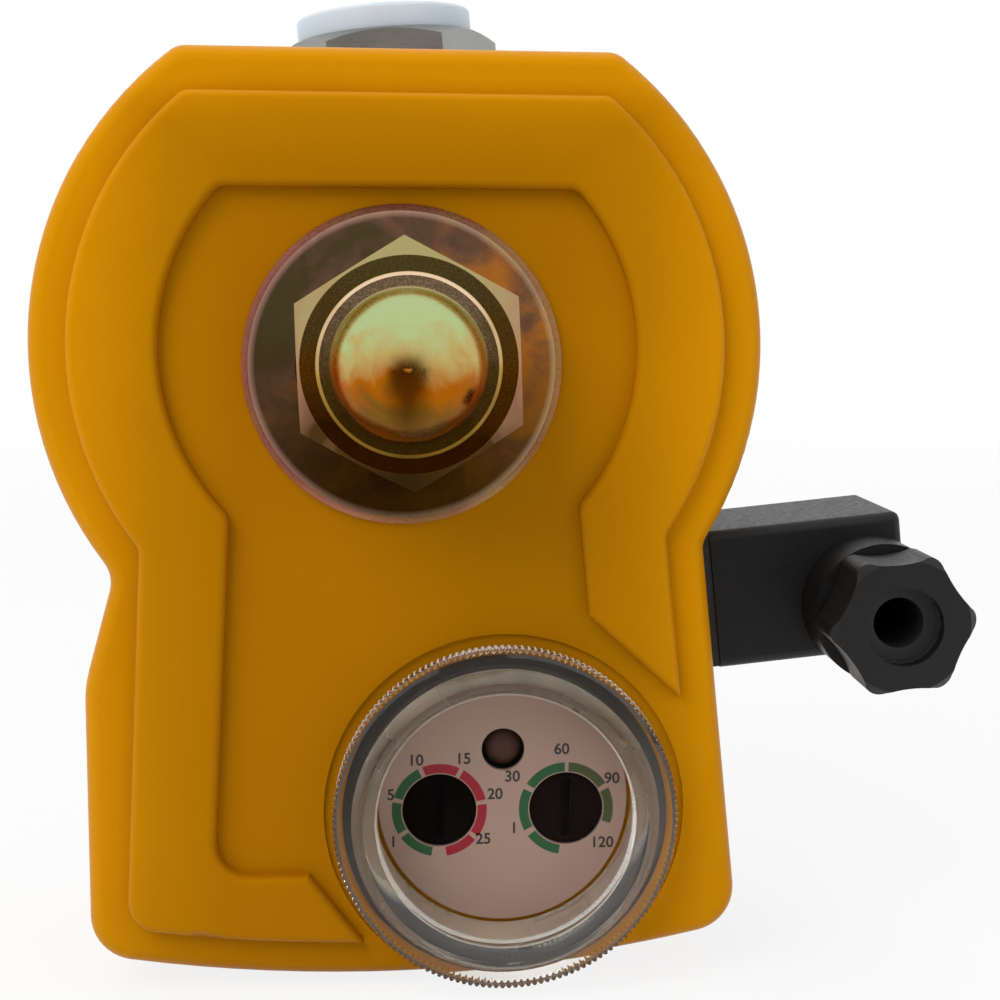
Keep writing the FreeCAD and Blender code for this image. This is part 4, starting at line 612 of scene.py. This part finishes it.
# The camera, as fitted to the photo: its place is in millimetres, sensor and lens too
SENSOR = 36.0
LENS = 61.2
SHIFT = -0.06
CLIP = (0.005, 20.0)
EYE = COIL + Vector((2.2, -195.9, 6.3))
EYE_RIGHT = Vector((0.99711, -0.07576, 0.00642))
EYE_UP = Vector((0.00219, 0.11306, 0.99359))
EYE_FORWARD = Vector((0.07600, 0.99069, -0.11290))


def make_stage():
    """A floor that fades to white with distance."""
    bpy.ops.mesh.primitive_plane_add(size=FLOOR_SIZE, location=(0.0, 0.0, FLOOR_LEVEL))
    floor = bpy.context.object
    floor.name = "floor"
    p = Paint("floor_paint")
    p.set(Base_Color=p.ramp(p.noise(scale=3.0, detail=2.0), FLOOR_RAMP), Roughness=0.8)
    glow = p.add("ShaderNodeEmission")
    glow.inputs["Strength"].default_value = 1.0
    path = p.add("ShaderNodeLightPath")
    mirrored = p.math("MAXIMUM", path.outputs["Is Glossy Ray"], path.outputs["Is Transmission Ray"])
    seen = p.math("MAXIMUM", path.outputs["Is Camera Ray"], mirrored)
    fade = p.spread(p.vector("LENGTH", p.place), *FADE_REACH, *FADE_SHARE)
    ahead = p.math("MULTIPLY_ADD", p.axis("Y"), ROOM_SPREAD, p.math("ABSOLUTE", p.axis("X")))
    front = p.fall(p.math("ADD", ahead, ROOM_SPREAD * ROOM_START), ROOM_EDGE)
    hidden = p.math("SUBTRACT", 1.0, path.outputs["Is Camera Ray"])
    p.put(glow.inputs["Color"], p.mix(p.math("MULTIPLY", front, hidden), WHITE, DARK_ROOM))
    mix = p.add("ShaderNodeMixShader")
    p.put(mix.inputs[0], p.math("MULTIPLY", seen, fade))
    p.link(p.bsdf.outputs["BSDF"], mix.inputs[1])
    p.link(glow.outputs["Emission"], mix.inputs[2])
    p.link(mix.outputs["Shader"], p.out.inputs["Surface"])
    floor.data.materials.append(p.mat)


def make_world():
    """White for the camera; metal and glass also see a darker room in front of the object."""
    world = bpy.data.worlds.new("studio")
    bpy.context.scene.world = world
    world.use_nodes = True
    w = Nodes(world.node_tree)
    way = w.add("ShaderNodeTexCoord").outputs["Generated"]
    height = w.axis("Z", way)
    middle = w.fall(w.math("ABSOLUTE", w.axis("X", way)), ROOM_SIDE)
    level = w.math("MULTIPLY", middle, w.fall(height, ROOM_TOP))
    dark = w.math("MULTIPLY", level, w.fall(w.axis("Y", way), ROOM_FRONT))
    room = w.mix(dark, WHITE, DARK_ROOM)
    plain = w.mix(w.spread(height, *SKY_RISE), SKY_LOW, SKY_HIGH)
    path = w.add("ShaderNodeLightPath")
    seen = w.math("MAXIMUM", path.outputs["Is Glossy Ray"], path.outputs["Is Transmission Ray"])
    light = w.mix(path.outputs["Is Camera Ray"], w.mix(seen, plain, room), WHITE)
    sky = w.add("ShaderNodeBackground")
    w.link(light, sky.inputs["Color"])
    w.link(sky.outputs[0], w.add("ShaderNodeOutputWorld").inputs["Surface"])


def softbox(name, spot, target, width, height, power, color):
    """A rectangular lamp that isn't mirrored in glossy surfaces."""
    lamp = bpy.data.lights.new(name, "AREA")
    lamp.shape = "RECTANGLE"
    lamp.size = width
    lamp.size_y = height
    lamp.energy = power
    lamp.color = color
    obj = bpy.data.objects.new(name, lamp)
    bpy.context.scene.collection.objects.link(obj)
    obj.location = spot
    obj.rotation_euler = (Vector(target) - Vector(spot)).to_track_quat("-Z", "Y").to_euler()
    obj.visible_glossy = False


def make_lights():
    for lamp in LAMPS:
        softbox(*lamp)


def make_camera():
    data = bpy.data.cameras.new("camera")
    data.sensor_width = SENSOR
    data.lens = LENS
    data.shift_x = SHIFT
    data.shift_y = 0.0
    data.clip_start, data.clip_end = CLIP
    data.dof.use_dof = False
    obj = bpy.data.objects.new("camera", data)
    bpy.context.scene.collection.objects.link(obj)
    turn = Matrix((EYE_RIGHT, EYE_UP, -EYE_FORWARD)).transposed().to_4x4()
    obj.matrix_world = Matrix.Translation(EYE * MM) @ turn
    bpy.context.scene.camera = obj


dress_nodes()
smooth_nodes()
print_dial()
make_stage()
make_world()
make_lights()
make_camera()
bpy.context.scene.view_settings.view_transform = "Standard"
